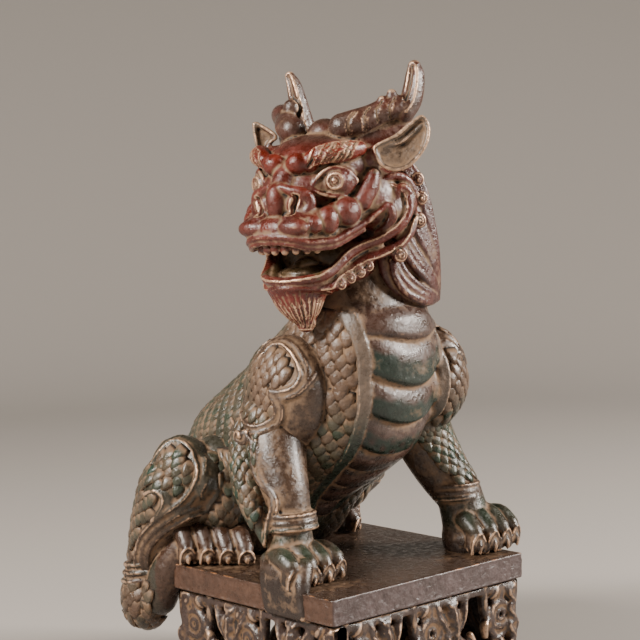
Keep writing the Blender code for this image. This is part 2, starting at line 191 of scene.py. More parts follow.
def fuse(piece, voxel, smoothing, share):
    """Makes overlapping forms one closed skin, as casting does, rounds its creases and thins its faces."""
    select_only(piece)
    shaped(piece, "REMESH", mode="VOXEL", voxel_size=voxel * MM)
    shaped(piece, "SMOOTH", factor=0.5, iterations=smoothing)
    shaped(piece, "DECIMATE", ratio=share)
    bpy.ops.object.shade_smooth()


def skin_points(piece):
    points = np.empty(len(piece.data.vertices) * 3)
    piece.data.vertices.foreach_get("co", points)
    return points.reshape(-1, 3)


def skin_normals(piece):
    normals = np.empty(len(piece.data.vertices) * 3)
    piece.data.vertex_normals.foreach_get("vector", normals)
    return normals.reshape(-1, 3)


def averaged(values, ends, rounds):
    """Each point's value replaced by the mean of its neighbours', a number of times."""
    count = len(values)
    near = np.bincount(ends.ravel(), minlength=count).clip(1)
    for _ in range(rounds):
        total = np.zeros_like(values)
        for axis in range(values.shape[1]):
            column = values[:, axis]
            total[:, axis] = np.bincount(ends[:, 0], column[ends[:, 1]], count)
            total[:, axis] += np.bincount(ends[:, 1], column[ends[:, 0]], count)
        values = 0.5 * values + 0.5 * total / near[:, None]
    return values


def relief(piece, rounds):
    """How far each point of a skin stands above its smoothed self, in millimetres."""
    ends = np.empty(len(piece.data.edges) * 2, np.int32)
    piece.data.edges.foreach_get("vertices", ends)
    points = skin_points(piece)
    smooth = averaged(points, ends.reshape(-1, 2), rounds)
    return ((points - smooth) * skin_normals(piece)).sum(1) * 1000


def keep_number(piece, name, values):
    layer = piece.data.attributes.new(name, "FLOAT", "POINT")
    layer.data.foreach_set("value", np.asarray(values, np.float32))


def keep_colour(piece, name, colours):
    layer = piece.data.attributes.new(name, "FLOAT_COLOR", "POINT")
    rgba = np.ones((len(colours), 4), np.float32)
    rgba[:, :3] = colours
    layer.data.foreach_set("color", rgba.ravel())


def keep_relief(piece, fine, broad, earth=0.40):
    """Stores where earth gathers and painted shade darkens the deepest hollows, and where hands rub, for the
    finishes to read.
    """
    close = relief(piece, fine[0]) / fine[1]
    wide = relief(piece, broad[0]) / broad[1]
    keep_number(piece, "hollow", np.clip(earth - 0.40 * close - 0.45 * wide, 0, 1.4))
    keep_number(piece, "ridge", np.clip(0.6 * close + 0.5 * wide - 0.06, 0, 1))


def linear(code):
    """An sRGB hex colour as linear light."""
    parts = np.array([int(code[k : k + 2], 16) for k in (0, 2, 4)]) / 255
    return np.where(parts <= 0.04045, parts / 12.92, ((parts + 0.055) / 1.055) ** 2.4)


def node(tree, kind, settings, links):
    """Adds a shader node with its settings, and links or sets its inputs."""
    made = tree.nodes.new(kind)
    for name, value in settings.items():
        setattr(made, name, value)
    for socket, value in links.items():
        if isinstance(value, bpy.types.NodeSocket):
            tree.links.new(value, made.inputs[socket])
        else:
            made.inputs[socket].default_value = value
    return made


def cast_finish(name, dust, dust_start, worn, worn_start, gloss, grain_mm, grain_depth):
    """A patinated casting: its coat's own colour, earth in the hollows with painted shade in the deepest, and
    rubbed metal on edges.

    The coat's colour and the hollow and ridge amounts come from the skin's own attributes.
    """
    finish = bpy.data.materials.new(name)
    finish.use_nodes = True
    tree = finish.node_tree
    shader = tree.nodes["Principled BSDF"]
    place = node(tree, "ShaderNodeTexCoord", {}, {}).outputs["Object"]
    coat = node(tree, "ShaderNodeAttribute", {"attribute_name": "coat"}, {}).outputs["Color"]
    hollow = node(tree, "ShaderNodeAttribute", {"attribute_name": "hollow"}, {}).outputs["Fac"]
    ridge = node(tree, "ShaderNodeAttribute", {"attribute_name": "ridge"}, {}).outputs["Fac"]

    def cloud(size_mm, detail, rough=0.55):
        settings = {"Vector": place, "Scale": 1000 / size_mm, "Detail": detail, "Roughness": rough}
        return node(tree, "ShaderNodeTexNoise", {}, settings).outputs["Fac"]

    def sums(operation, a, b):
        return node(tree, "ShaderNodeMath", {"operation": operation}, {0: a, 1: b}).outputs[0]

    def swing(value, amount):
        return sums("MULTIPLY", sums("SUBTRACT", value, 0.5), amount)

    def ramp(value, low, high):
        links = {"Value": value, "From Min": low, "From Max": high}
        return node(tree, "ShaderNodeMapRange", {"clamp": True}, links).outputs[0]

    def blend(amount, a, b, mode="MIX"):
        settings = {"data_type": "RGBA", "blend_type": mode}
        return node(tree, "ShaderNodeMix", settings, {0: amount, 6: a, 7: b}).outputs[2]

    broad = cloud(11, 4)
    middle = cloud(2.6, 5, 0.65)
    fine = cloud(0.9, 3, 0.6)
    shade = ramp(sums("ADD", sums("MULTIPLY", broad, 0.5), sums("MULTIPLY", middle, 0.5)), 0.34, 0.66)
    dark = blend(1.0, coat, (0.42, 0.40, 0.38, 1), "MULTIPLY")
    colour = blend(shade, dark, coat)
    rub = ramp(sums("ADD", ridge, sums("MULTIPLY", middle, 0.55)), worn_start, worn_start + 0.30)
    colour = blend(rub, colour, (*linear(worn), 1))
    earth = sums("ADD", hollow, swing(middle, 1.1))
    earth = sums("ADD", earth, swing(broad, 0.9))
    earth = ramp(earth, dust_start, dust_start + 0.42)
    tint = blend(fine, (*(linear(dust) * 0.55), 1), (*linear(dust), 1))
    colour = blend(earth, colour, tint)
    # Painted shade: where the hollow amount runs highest the colour is darkened to near black, standing in
    # for shade in the deepest creases and gaps
    depth = ramp(sums("ADD", hollow, swing(middle, 0.3)), 0.80, 1.05)
    colour = blend(depth, colour, (*linear("1c130e"), 1))
    tree.links.new(colour, shader.inputs["Base Color"])
    matt = sums("MULTIPLY", earth, 0.85)
    matt = sums("MAXIMUM", matt, sums("MULTIPLY", ramp(middle, 0.42, 0.66), 0.5))
    rough = ramp(matt, 0.0, 1.0)
    rough = node(
        tree,
        "ShaderNodeMapRange",
        {"clamp": True},
        {"Value": rough, "From Min": 0.0, "From Max": 1.0, "To Min": gloss, "To Max": 0.95},
    ).outputs[0]
    tree.links.new(rough, shader.inputs["Roughness"])
    shader.inputs["Specular IOR Level"].default_value = 0.55
    shader.inputs["Coat Weight"].default_value = 0.15
    shader.inputs["Coat Roughness"].default_value = 0.25
    metal = sums("MULTIPLY", rub, 0.6)
    metal = sums("MULTIPLY", metal, sums("SUBTRACT", 1.0, earth))
    tree.links.new(metal, shader.inputs["Metallic"])
    grain = cloud(grain_mm, 4, 0.7)
    pits = node(
        tree, "ShaderNodeTexVoronoi", {}, {"Vector": place, "Scale": 1000 / (grain_mm * 2.2)}
    ).outputs["Distance"]
    height = sums("ADD", grain, sums("MULTIPLY", ramp(pits, 0.0, 0.35), 0.45))
    bump = node(
        tree, "ShaderNodeBump", {}, {"Height": height, "Distance": grain_depth * MM, "Strength": 1.0}
    ).outputs["Normal"]
    tree.links.new(bump, shader.inputs["Normal"])
    return finish


def scroll_cell(wax, matrix, flip):
    """One repeat of the pierced band: a ribbed leaf with two lobes on a ringed scroll."""
    low, high = PEDESTAL_FOOT, PEDESTAL_SIZE[2]
    reach = (high - low) / 2
    local = Wax(matrix @ Matrix.Translation((0, 0.9, (low + high) / 2)) @ Matrix.Diagonal((1.06, 1.3, flip,
        1)))
    local.ball((0, -0.6, 9.5), (3.2, 2.2, 9))
    local.bar([(0, -2.4, 2, 0.5), (0, -3.0, 9, 0.6), (0, -2.4, 16, 0.4)])
    for sign in (-1, 1):
        local.ball((sign * 5.4, -0.3, 10), (2.1, 1.9, 8), (0, sign * 24, 0))
        for k in range(4):
            z = 3.5 + 3.6 * k
            local.bar([(sign * 0.3, -2.5, z, 0.5), (sign * 1.8, -2.2, z + 1.6, 0.55),
                (sign * 2.9, -0.8, z + 2.6, 0.4)])
        local.bar([(sign * 3.4, -1.8, 5, 0.5), (sign * 5.4, -2.3, 10, 0.6), (sign * 8.2, -1.4, 16, 0.5)])
        local.bar([(sign * 1.5, 0, 2, 1.8), (sign * 6, 0, -4, 1.6), (sign * 9.2, 0, -reach, 1.9)])
        local.bar([(sign * 7.6, -1.2, 1, 1.3), (sign * 8.3, -1.3, -3, 1.5), (sign * 6.6, -1.2, -5, 1.1)])
        local.ball((sign * 3.2, -0.6, -15.2), (1.8, 1.9, 3.2), (0, sign * 32, 0))
    local.bar([(4.6 * sin(a), -0.5, -6.5 + 4.8 * cos(a), 1.55) for a in np.linspace(0, 2 * pi, 10)], 3)
    local.bar([(1.7 * sin(a), -1.2, -6.5 + 1.9 * cos(a), 0.9) for a in np.linspace(0, 1.7 * pi, 8)], 2)
    local.ball((0, 0, -14), (2.3, 1.8, 5))
    wax.append(local)


def side_place(k, away):
    turn = Matrix.Rotation(k * pi / 2, 4, "Z")
    return PEDESTAL_PLACE @ turn @ Matrix.Translation((0, -away / 2, 0))


pedestal_wax = []
width, depth, high = PEDESTAL_SIZE
for k, (length, away) in enumerate([(width, depth), (depth, width)] * 2):
    matrix = side_place(k, away - PEDESTAL_WALL)
    side = Wax(matrix)
    side.box((0, 0.6, high - PEDESTAL_RAIL / 2 - 0.4), (length - 2, PEDESTAL_WALL - 1.4, PEDESTAL_RAIL))
    side.box((0, 0, PEDESTAL_FOOT / 2 + 0.4), (length, PEDESTAL_WALL, PEDESTAL_FOOT))
    side.box(((length - PEDESTAL_WALL) / 2, 0, high / 2),
        (PEDESTAL_WALL - 1.4, PEDESTAL_WALL - 1.4, high - 2))
    for z in (13, 20, 27, 34, 40):
        side.bar([((length - 4) / 2, -1.9, z - 4, 1.1), (length / 2 - 4.5, -1.7, z, 1.3),
            (length / 2 - 1.6, -1.9, z + 2.2, 0.8)])
    side.bar([(-length / 2 + 2, -2.2, PEDESTAL_FOOT, 0.9), (length / 2 - 2, -2.2, PEDESTAL_FOOT, 0.9)], 30)
    pedestal_wax.append(side)
    cells = round(length / PEDESTAL_CELL)
    for n in range(cells):
        x = ((n + 0.5) / cells - 0.5) * (length - PEDESTAL_WALL)
        lean = Matrix.Rotation(radians((7, -5, 3, -8, 5)[(n + 2 * k) % 5]), 4, "Y")
        scroll_cell(pedestal_wax, matrix @ Matrix.Translation((x, 0, 0)) @ lean, 1 if n % 2 else -1)
floor_plate = Wax(PEDESTAL_PLACE)
floor_plate.box((0, 0, PEDESTAL_FLOOR / 2 + 0.4), (width - 1, depth - 1, PEDESTAL_FLOOR))
pedestal_wax.append(floor_plate)
pedestal = gathered("pierced_pedestal", pedestal_wax)
fuse(pedestal, PEDESTAL_VOXEL, 1, 0.6)
points = skin_points(pedestal)
lowest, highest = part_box("openwork_plinth")
points = np.clip(points, np.array(lowest), np.array(highest))
points[points[:, 2] < 0.0008, 2] = 0.0
pedestal.data.vertices.foreach_set("co", points.ravel())
keep_relief(pedestal, (3, 0.16), (14, 0.6))
keep_colour(pedestal, "coat", np.tile(linear("40302a"), (len(points), 1)))
# The hollow amount brings earth into the piercings and near-black painted shade into the deepest of them
openwork_bronze = cast_finish("patinated cast bronze with packed earth and painted shade", "75573a", 0.40, "a98c74", 0.84, 0.24,
    1.2, 0.25)
pedestal.data.materials.append(openwork_bronze)
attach(pedestal, "root")
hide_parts("openwork_plinth")

# The slab
# A flat plate cast in one with the figure: its sides are hammered and dark, its upper edges are rubbed to
# orange metal, and its top is dull with earth between the paws.

SLAB_SIZE = (100.0, 88.3, 10.4)
SLAB_TOP = 54.7
FIGURE_PLACE = Matrix.Scale(MM, 4) @ Matrix.Translation((0, 0, SLAB_TOP))

bpy.ops.object.select_all(action="DESELECT")
bpy.ops.mesh.primitive_cube_add(size=1, location=(0, 0, (SLAB_TOP - SLAB_SIZE[2] / 2) * MM))
slab = bpy.context.object
slab.name = "figure_slab"
slab.scale = [length * MM for length in SLAB_SIZE]
bpy.ops.object.transform_apply(location=True, rotation=True, scale=True)
shaped(slab, "BEVEL", width=0.0006, segments=2)
shaped(slab, "REMESH", mode="VOXEL", voxel_size=MM)
bpy.ops.object.shade_smooth()
points = skin_points(slab)
half = np.array(SLAB_SIZE) / 2000
centre = np.array((0, 0, (SLAB_TOP - SLAB_SIZE[2] / 2) * MM))
inside = half - np.abs(points - centre)
edge = np.sort(inside, axis=1)[:, 1] * 1000
upper = points[:, 2] > (SLAB_TOP - 3) * MM
worn = np.clip(1.3 - edge / 0.9, 0, 1)
x, y, z = points.T
dents = np.sin(x * 2300 + 2 * np.sin(z * 1900) + 1.3 * np.sin(y * 900))
dents = dents * np.sin(z * 2500 + 2 * np.sin(x * 1500 + y * 1300))
ripple = 0.42 * dents * np.sin(y * 2200 + 1.5 * np.sin(x * 1100))
ripple = np.where(points[:, 2] > (SLAB_TOP - 0.8) * MM, 0.25 * ripple, 0.6 * ripple + 0.28 * dents)
normals = skin_normals(slab)
flat = np.clip(edge / 1.2, 0, 1)
points = points - normals * (0.00010 + MM * (0.5 + ripple) * flat * 0.7)[:, None]
slab.data.vertices.foreach_set("co", points.ravel())
# Painted light: each face of the slab gets its own tone by the way it faces. The front face, turned to the
# right light, is painted a lighter purple-grey and the left face, turned to the left light, a lighter brown;
# the top and the hidden faces keep darker tones
top = normals[:, 2] > 0.8
front = (normals[:, 1] < -0.6)[:, None]
colours = np.where(top[:, None], linear("3a2a20"), linear("3e2e27"))
colours = np.where(front, linear("564645"), colours)
colours = np.where((normals[:, 0] < -0.6)[:, None], linear("54392a"), colours)
keep_colour(slab, "coat", colours)
patches = 0.62 + 0.38 * np.sin(x * 330 + 3 * np.sin(y * 170)) * np.sin(y * 410 + 2 * np.sin(x * 190))
keep_number(slab, "ridge", worn * patches * np.where(upper, 1.0, 0.55))
paws = np.zeros(len(points))
for spot in ((-0.038, -0.014), (0.044, -0.026), (-0.035, 0.03)):
    away = np.hypot(points[:, 0] - spot[0], points[:, 1] - spot[1])
    paws = np.maximum(paws, np.clip(1.7 - away / 0.016, 0, 1))
dust_on_top = (0.26 + 0.42 * paws) * np.clip(edge / 3, 0, 1)
keep_number(slab, "hollow", np.where(top, dust_on_top, 0.14 + 0.12 * (points[:, 0] < -0.0485)))
slab_bronze = cast_finish("hammered dark bronze", "6d5238", 0.46, "b07a50", 0.72, 0.24, 2.2, 0.55)
slab.data.materials.append(slab_bronze)
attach(slab, "root")
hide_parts("qilin_on_slab")

# The body
# The trunk, haunches and tail are one hollow casting with the slab. Overlapping cross plates run down the
# belly between two plain straps, and each haunch and shoulder has a scrolled double rim round its scales.

BODY_VOXEL = 0.72
# How far out rays start, beyond every form, how far short of the straps the plates end, and the depths
# that the skin under the plates is kept between
OUTSIDE = 90
PLATE_INSET = 1.6
DEEPEST, HIGHEST = -9.0, 3.0
TRUNK = [
    (-7, 58, 12, 18),
    (2, 50, 24, 28),
    (12, 48, 31, 32),
    (22, 44, 36, 34),
    (32, 36, 43, 34),
    (42, 26, 47, 33),
    (52, 19, 47, 32),
    (62, 10, 42, 30),
    (72, 2, 35, 28),
    (82, -5, 29, 26),
    (92, -10, 23, 23),
    (102, -9, 20, 20),
    (114, -7, 17, 17),
    (128, -6, 14, 14),
]
# The belly's middle line, with how far out the near and the far strap run
BELLY_LINE = [
    (-31, 97, -18.8, 22),
    (-33.5, 90, -18.4, 25),
    (-34.5, 80, -16.9, 26.5),
    (-33, 67, -16.2, 26.8),
    (-29, 53, -16.1, 25.8),
    (-21, 40, -15.6, 21),
    (-12, 31, -13.2, 16.5),
    (-2, 25, -10.8, 12.5),
    (8, 20, -8.4, 9.5),
    (16, 14, -6.2, 7),
]
PLATE_EDGES = [97, 84, 67, 53, 41, 32.5, 25.5, 20, 14.5]
# The rims, seen from the side
SHOULDER_RIM = [(4, 79), (2.2, 81.1), (0.9, 82.9), (-2, 84.1), (-5.2, 83.8), (-9.1, 81.6), (-11.8, 78.9)]
SHOULDER_RIM += [(-13.6, 76.1), (-14.5, 73.4), (-14, 70.9), (-12.8, 69.2), (-10.3, 68.1), (-7.3, 67.6)]
SHOULDER_RIM += [(-4.1, 67.8), (-4.9, 65.7), (-6.2, 63.8), (-6.8, 61.6), (-5.6, 58.4), (-1.5, 55.4),
    (3, 55.2)]
SHOULDER_RIM += [(7.5, 56.6), (11.5, 59.8), (13.5, 64)]
HAUNCH_RIM = [(48, 37.5), (46, 40.7), (43.9, 43.4), (42.2, 46), (39.4, 46.8), (35.6, 46), (32.1, 43.3)]
HAUNCH_RIM += [(30.1, 40.1), (28.1, 37), (27.7, 33.8), (29.8, 29.6), (32.2, 26.1), (34.5, 22.9), (39, 19.9)]
HAUNCH_RIM += [(44.3, 16.7), (49.3, 13), (54.4, 8), (58.1, 2.2), (60, -4), (59, -11)]
THIGH_HOOK = [(46, 27.1), (42.6, 28.6), (39.7, 28.9), (37.3, 26.8), (37.7, 23.7), (40.1, 20.7), (44.7, 17.2)]


def loft(wax, stations, squareness=2.5, around=96):
    """A closed skin over level sections, each (z, middle y, half depth, half width)."""
    angles = np.linspace(0, 2 * pi, around, endpoint=False)
    c, s = np.cos(angles), np.sin(angles)
    c = np.sign(c) * np.abs(c) ** (2 / squareness)
    s = np.sign(s) * np.abs(s) ** (2 / squareness)
    sections = smooth_path(stations, 4)
    rings = [np.column_stack([w * c, m + d * s, np.full(around, z)]) for z, m, d, w in sections]
    wax.add(np.vstack(rings), ring_faces(len(rings), around))


def landed(surface, start, looking):
    """Where a ray in the figure's millimetres meets a surface, or nothing."""
    turn = FIGURE_PLACE.to_3x3()
    hit = surface.ray_cast(FIGURE_PLACE @ Vector(start), (turn @ Vector(looking)).normalized())[0]
    return None if hit is None else FIGURE_PLACE.inverted() @ hit


def moved_aside(path, distance):
    """A flat path of (y, z) moved to its left by a distance."""
    p = smooth_path(path, 3)
    along = directions(p)
    return np.column_stack([p[:, 0] - along[:, 1] * distance, p[:, 1] + along[:, 0] * distance])


# Where the rims touch the skin, so that no scale is laid over them
RIM_SPOTS = []


def rim_laid(surface, rim, side, distance, radius, proud, least):
    """A raised line that follows a rim over one side of the figure, where the side is far enough out."""
    laid = []
    for y, z in moved_aside(rim, distance):
        hit = landed(surface, (side * OUTSIDE, y, z), (-side, 0, 0))
        if hit is not None and side * hit.x > least:
            laid.append((hit.x + side * proud, y, z, radius))
            RIM_SPOTS.append((hit.x, y, z))
    return laid


trunk_wax = Wax(FIGURE_PLACE)
loft(trunk_wax, TRUNK)
bare_trunk = trunk_wax.surface()
body_wax = Wax(FIGURE_PLACE)
loft(body_wax, TRUNK)
body_wax.ball((-28, 0, 65), (13, 18, 22), (10, 0, 0))
body_wax.ball((31, -11, 66.5), (15, 18, 20))
body_wax.bar([(-29, 4, 60, 11.5), (-31.5, 4, 54, 12.6), (-35, 0, 45, 10.6)])
body_wax.bar([(29, -4, 60, 12), (30, -6, 54, 12.6), (33, -7, 45, 11)])
for side in (-1, 1):
    body_wax.bar([(side * 43, 34, 33, 9), (side * 45, 43, 28, 14.5), (side * 47, 53, 15, 11),
        (side * 47, 61, 0, 8)])
    body_wax.ball((side * 45, 41, 33), (11, 13, 15))
    body_wax.ball((side * 33, 37, 28), (11.5, 14, 19))
body_wax.bar([(4, 74, 4, 7), (12, 80, 22, 7.5), (18, 72, 40, 7), (12, 58, 54, 6), (2, 50, 60, 4),
    (-2, 52, 66, 1.5)])
bare_body = body_wax.surface()

# The cross plates: rolls that overlap downwards, on the belly between the straps
belly = smooth_path(BELLY_LINE, 16)
run = np.concatenate([[0], np.cumsum(np.hypot(*np.diff(belly[:, :2], axis=0).T))])
edge_runs = np.interp(-np.array(PLATE_EDGES), -belly[:, 1], run)
rows = np.linspace(edge_runs[0], edge_runs[-1], 190)
columns = np.linspace(-1, 1, 41)
middle = np.column_stack([np.interp(rows, run, belly[:, k]) for k in range(4)])
along = directions(middle[:, :2])
outward = np.column_stack([along[:, 1], -along[:, 0]])
base = np.full((len(rows), len(columns)), DEEPEST)
for i, ((y, z, near, far), (ny, nz)) in enumerate(zip(middle, outward)):
    for j, x in enumerate((near + far) / 2 + columns * ((far - near) / 2 - PLATE_INSET)):
        hit = landed(bare_body, (x, y + 30 * ny, z + 30 * nz), (0, -ny, -nz))
        if hit is not None:
            base[i, j] = (hit.y - y) * ny + (hit.z - z) * nz
base = base.clip(DEEPEST, HIGHEST)
for _ in range(12):
    base[1:-1] = (base[:-2] + 2 * base[1:-1] + base[2:]) / 4
    base[:, 1:-1] = (base[:, :-2] + 2 * base[:, 1:-1] + base[:, 2:]) / 4


def plate_share(place, half, column):
    """Which plate a spot on the belly is on, how far down that plate it lies, and the plate's height."""
    shifted = place + 0.26 * half * column**2 * np.clip((place - edge_runs[1] + 10) / 8, 0, 1)
    k = np.clip(np.searchsorted(edge_runs, shifted, side="right") - 1, 0, len(edge_runs) - 2)
    size = edge_runs[k + 1] - edge_runs[k]
    return k, np.clip((shifted - edge_runs[k]) / size, 0, 1), size


fronts, backs = [], []
for (y, z, near, far), (ny, nz), place, low in zip(middle, outward, rows, base):
    half = (far - near) / 2 - PLATE_INSET
    k, v, size = plate_share(place, half, columns)
    roll = np.sin(np.clip(v / 0.5, 0, 1) * pi / 2) * np.clip((1 - v) / 0.13, 0, 1) ** 0.5 * (0.8 + 0.2 * v)
    proud = low + roll * (0.9 + 0.13 * size) * (1 - 0.45 * columns**4) - 0.2
    sheet = np.column_stack([(near + far) / 2 + columns * half, y + ny * proud, z + nz * proud])
    fronts.append(sheet)
    backs.append(sheet - (0, 7 * ny, 7 * nz))
wide, long = len(columns), len(rows)
cells = [
    (i * wide + j, i * wide + j + 1, (i + 1) * wide + j + 1, (i + 1) * wide + j)
    for i in range(long - 1)
    for j in range(wide - 1)
]
count = wide * long
rim = [*range(wide), *range(2 * wide - 1, count, wide)]
rim += [*range(count - 2, count - wide - 1, -1), *range(count - 2 * wide, 0, -wide)]
around = [(a, a + count, b + count, b) for a, b in zip(rim, [*rim[1:], rim[0]])]
body_wax.add(
    np.vstack([*fronts, *backs]), [*cells, *[tuple(n + count for n in face[::-1]) for face in cells], *around]
)

# The straps: a flat band with a fine raised edge on each side of it
for on_far_side in (0, 1):
    for outside, radius, proud in ((-1.4, 0.7, 1.2), (-0.5, 1.0, 0.7), (0.5, 1.0, 0.7), (1.4, 0.7, 1.2)):
        strap = []
        for y, z, near, far in belly[2:-6:5]:
            x = (near - 1.2 - outside, far - 1.8 + outside)[on_far_side]
            hit = landed(bare_body, (x, -OUTSIDE, z - 3), (0, 1, 0.03))
            if hit is not None:
                strap.append((hit.x, hit.y - proud, hit.z, radius))
        body_wax.bar(strap, 2)
for side, forward, higher in ((-1, 0, 0), (1, -9, 4)):
    shoulder = [(y + forward, z + higher) for y, z in SHOULDER_RIM]
    for rim, least in ((shoulder, 29), (HAUNCH_RIM, 40), (THIGH_HOOK, 40)):
        body_wax.bar(rim_laid(bare_body, rim, side, 0.0, 0.9, 0.7, least), 1)
        body_wax.bar(rim_laid(bare_body, rim, side, -1.2, 0.9, -0.3, least), 1)
        if rim is not THIGH_HOOK:
            body_wax.bar(rim_laid(bare_body, rim, side, -2.5, 0.85, 0.6, least), 1)
    body_wax.bar(rim_laid(bare_body, HAUNCH_RIM, side, -4.2, 1.2, 0.2, 40), 1)
body = gathered("qilin_body", [body_wax])
fuse(body, BODY_VOXEL, 2, 0.6)


def figure_points(piece):
    """A skin's points in the figure's own millimetres."""
    return skin_points(piece) * 1000 - (0, 0, SLAB_TOP)


def paint(colours, amount, code):
    """Lays a colour over others where its amount, from 0 to 1, is high."""
    return colours + (linear(code) - colours) * np.clip(amount, 0, 1)[:, None]


def wander(points, size, seed):
    """A slow, smooth, repeatable variation over space between about -1 and 1."""
    total = 0
    for k in range(4):
        turn = np.array([sin(seed * 3.1 + k * 2.3), cos(seed * 1.7 + k * 4.1), sin(seed * 5.3 + k)])
        turn /= np.linalg.norm(turn)
        total = total + np.sin(points @ turn * (2 * pi / size) * (1 + 0.37 * k) + seed + k)
    return total / 4


def strap_edges(z):
    """How far out the near and the far strap run at a height."""
    return [np.interp(z, belly[::-1, 1], belly[::-1, k]) for k in (2, 3)]


points = figure_points(body)
x, y, z = points.T
colours = np.tile(linear("4f3c2f"), (len(points), 1))
green = np.clip((y - 5 + 8 * wander(points, 30, 1)) / 20, 0, 1) * np.clip((z - 10) / 20, 0, 1)
colours = paint(colours, 0.5 * green, "33443a")
near, far = strap_edges(z)
half = (far - near) / 2
column = (x - (near + far) / 2) / half
place = np.interp(-z, -belly[:, 1], run)
plate, v, _ = plate_share(place, half, np.clip(column, -1, 1))
on_belly = (np.abs(column) < 0.93) & (y < np.interp(z, [14, 25, 40, 67], [18, 6, -8, -18])) & (z < 98)
colours = paint(colours, on_belly, "4b362d")
lower = np.clip((v - 0.34 + 0.12 * wander(points, 9, 4)) / 0.16, 0, 1)
colours = paint(colours, on_belly * lower * ((plate > 0) & (plate < 4)), "13291f")
colours = paint(colours, on_belly * lower * (plate >= 4) * 0.9, "2a1e17")
colours = paint(colours, on_belly * (plate == 3) * (v > 0.3) * np.clip(0.3 + wander(points, 8, 2), 0, 1),
    "3d2116")
on_strap = (np.abs(np.abs(x - (near + far) / 2 + 1.5) - half + 0.3) < 2.2) & (z > 12) & (z < 106) & (y < 14)
colours = paint(colours, on_strap, "6b5c50")
colours = paint(colours, on_strap * np.clip((62 - z) / 14, 0, 1), "28352b")
keep_colour(body, "coat", colours)
bare = np.clip((z - 98) / 6, 0, 1) + np.clip((x + 18) / -4, 0, 1) * (y < 2) * (z > 44)
keep_relief(body, (4, 0.2), (24, 0.8), 0.38 + 0.18 * np.clip(bare, 0, 1))
# Earth fills the hollows, and the deepest creases are painted near black as shade
lacquered_bronze = cast_finish("lacquered cast bronze with earth in the hollows", "866a50", 0.34, "c4a184",
    0.79, 0.22, 1.5, 0.34)
body.data.materials.append(lacquered_bronze)
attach(body, "root")
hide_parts("qilin_on_slab")

# The forelegs
# Each foreleg is cast with the body and ends in a low pad with four arched toes and claws. A scaled tuft
# hangs behind the leg from a small curl to a point at the ankle, and a ring of folds goes round the ankle.

FORELEG_VOXEL = 0.6


def toe(wax, root, knuckle, front, size, turn=0.0):
    """One toe: an arched knuckle over a claw that stands in an arched fold."""
    x, y, z = front
    wax.bar([(*root, size * 0.85), (*knuckle, size * 1.08), (x, y, z, size * 0.98)])
    wax.bar([(x, y + 0.8, z, size * 0.9), (x, y + 1.0, 2.8, size * 0.86)])
    c, s = cos(turn), sin(turn)
    arch = [(-0.80, 0.6, 0.6), (-0.72, -0.5, z * 0.62), (0, -1.1, z * 0.92), (0.72, -0.5, z * 0.62),
        (0.80, 0.6, 0.6)]
    reach = size * 0.62
    fold = [(x + u * size * c - (w - reach) * s, y + u * size * s + (w - reach) * c, h, 0.75) for u, w,
        h in arch]
    wax.bar(fold, 4)
    wax.bar(
        [
            (x, y - reach, z * 0.60, 1.3),
            (x + reach * s * 1.3, y - reach * c * 1.3, z * 0.34, 1.45),
            (x + reach * s * 1.5, y - reach * c * 1.5, 0.9, 0.6),
        ]
    )


def paw(wax, middle_x, back_y, front_y, width, height, toe_count=4):
    """A forepaw: a low pad with arched toes that point towards the slab's front edge."""
    reach = back_y - front_y
    wax.ball((middle_x, back_y - reach * 0.42, 4.6), (width * 0.44, reach * 0.44, 7.0))
    size = width / 8.2
    for k in range(toe_count):
        x = width * (k - (toe_count - 1) / 2) / toe_count
        drop = 1.3 * abs(k - (toe_count - 1) / 2)
        toe(
            wax,
            (middle_x + x * 0.6, back_y - reach * 0.28, height - 4.5 - drop),
            (middle_x + x * 0.92, back_y - reach * 0.58, height - 3.6 - drop),
            (middle_x + x, back_y - reach * 0.84 + drop, height * 0.50),
            size,
            0.10 * (k - (toe_count - 1) / 2),
        )


legs_wax = Wax(FIGURE_PLACE)
legs_wax.bar([(-30, 4, 58, 10.5), (-32, 3, 52, 11.8), (-36, -2, 42, 10.8), (-38, -9, 30, 8.2),
    (-38, -11, 18, 7.2)])
legs_wax.bar([(-38, -11, 18, 7.2), (-38.5, -11, 9, 9.0), (-38.5, -12, 4, 10)])
for y in np.arange(-27, -8, 1.5):
    legs_wax.bar([(-44.5, y + 3, 7, 3.6), (-47.2, y + 1, 2, 3.2), (-48.4, y, -4, 2.4),
        (-48.8, y - 1, -9, 1.8)])
legs_wax.bar([(30, -5, 58, 11), (31, -6.5, 51, 12), (34, -8, 42, 11.2), (37, -14, 30, 10),
    (40, -21, 20, 8.8)])
legs_wax.bar([(40, -21, 20, 8.8), (41.5, -23, 10, 9.6), (42, -23, 4, 10)])
for side, x, y, z in ((-1, -38, -10.5, 23.5), (1, 39.2, -19.2, 24.5)):
    spread = (8.6, 9.0)[side > 0]
    for k in range(3):
        ring = [
            (x + spread * sin(a), y - k * 0.6 + spread * cos(a) * 0.98, z - 2.3 * k - 0.8 * cos(a), 0.95)
            for a in np.linspace(0.15 * pi, 1.85 * pi, 16)
        ]
        legs_wax.bar(ring, 2)
legs_wax.bar([(-39, 9, 52, 6), (-42, 8, 44, 6), (-45.5, 4, 35, 5.2), (-47, 0, 27, 3.8), (-47, -4, 19, 2.4),
    (-47, -6.5, 13, 0.9)])
leg_skin = legs_wax.surface()
RIBBON = [(-45.6, 4.6, 53), (-45.4, 1.4, 50.2), (-46, -0.1, 46), (-46.4, -0.4, 41.8), (-46.5, -2.5, 36.9)]
RIBBON += [(-46.2, -5.4, 34), (-45.9, -8.6, 31.8), (-46.2, -10.4, 29.5), (-46.8, -10.4, 26.2),
    (-47.6, -9.3, 21.9), (-47.6, -7.2, 14)]
legs_wax.bar([(x - 0.3, y, z, 0.95) for x, y, z in RIBBON])
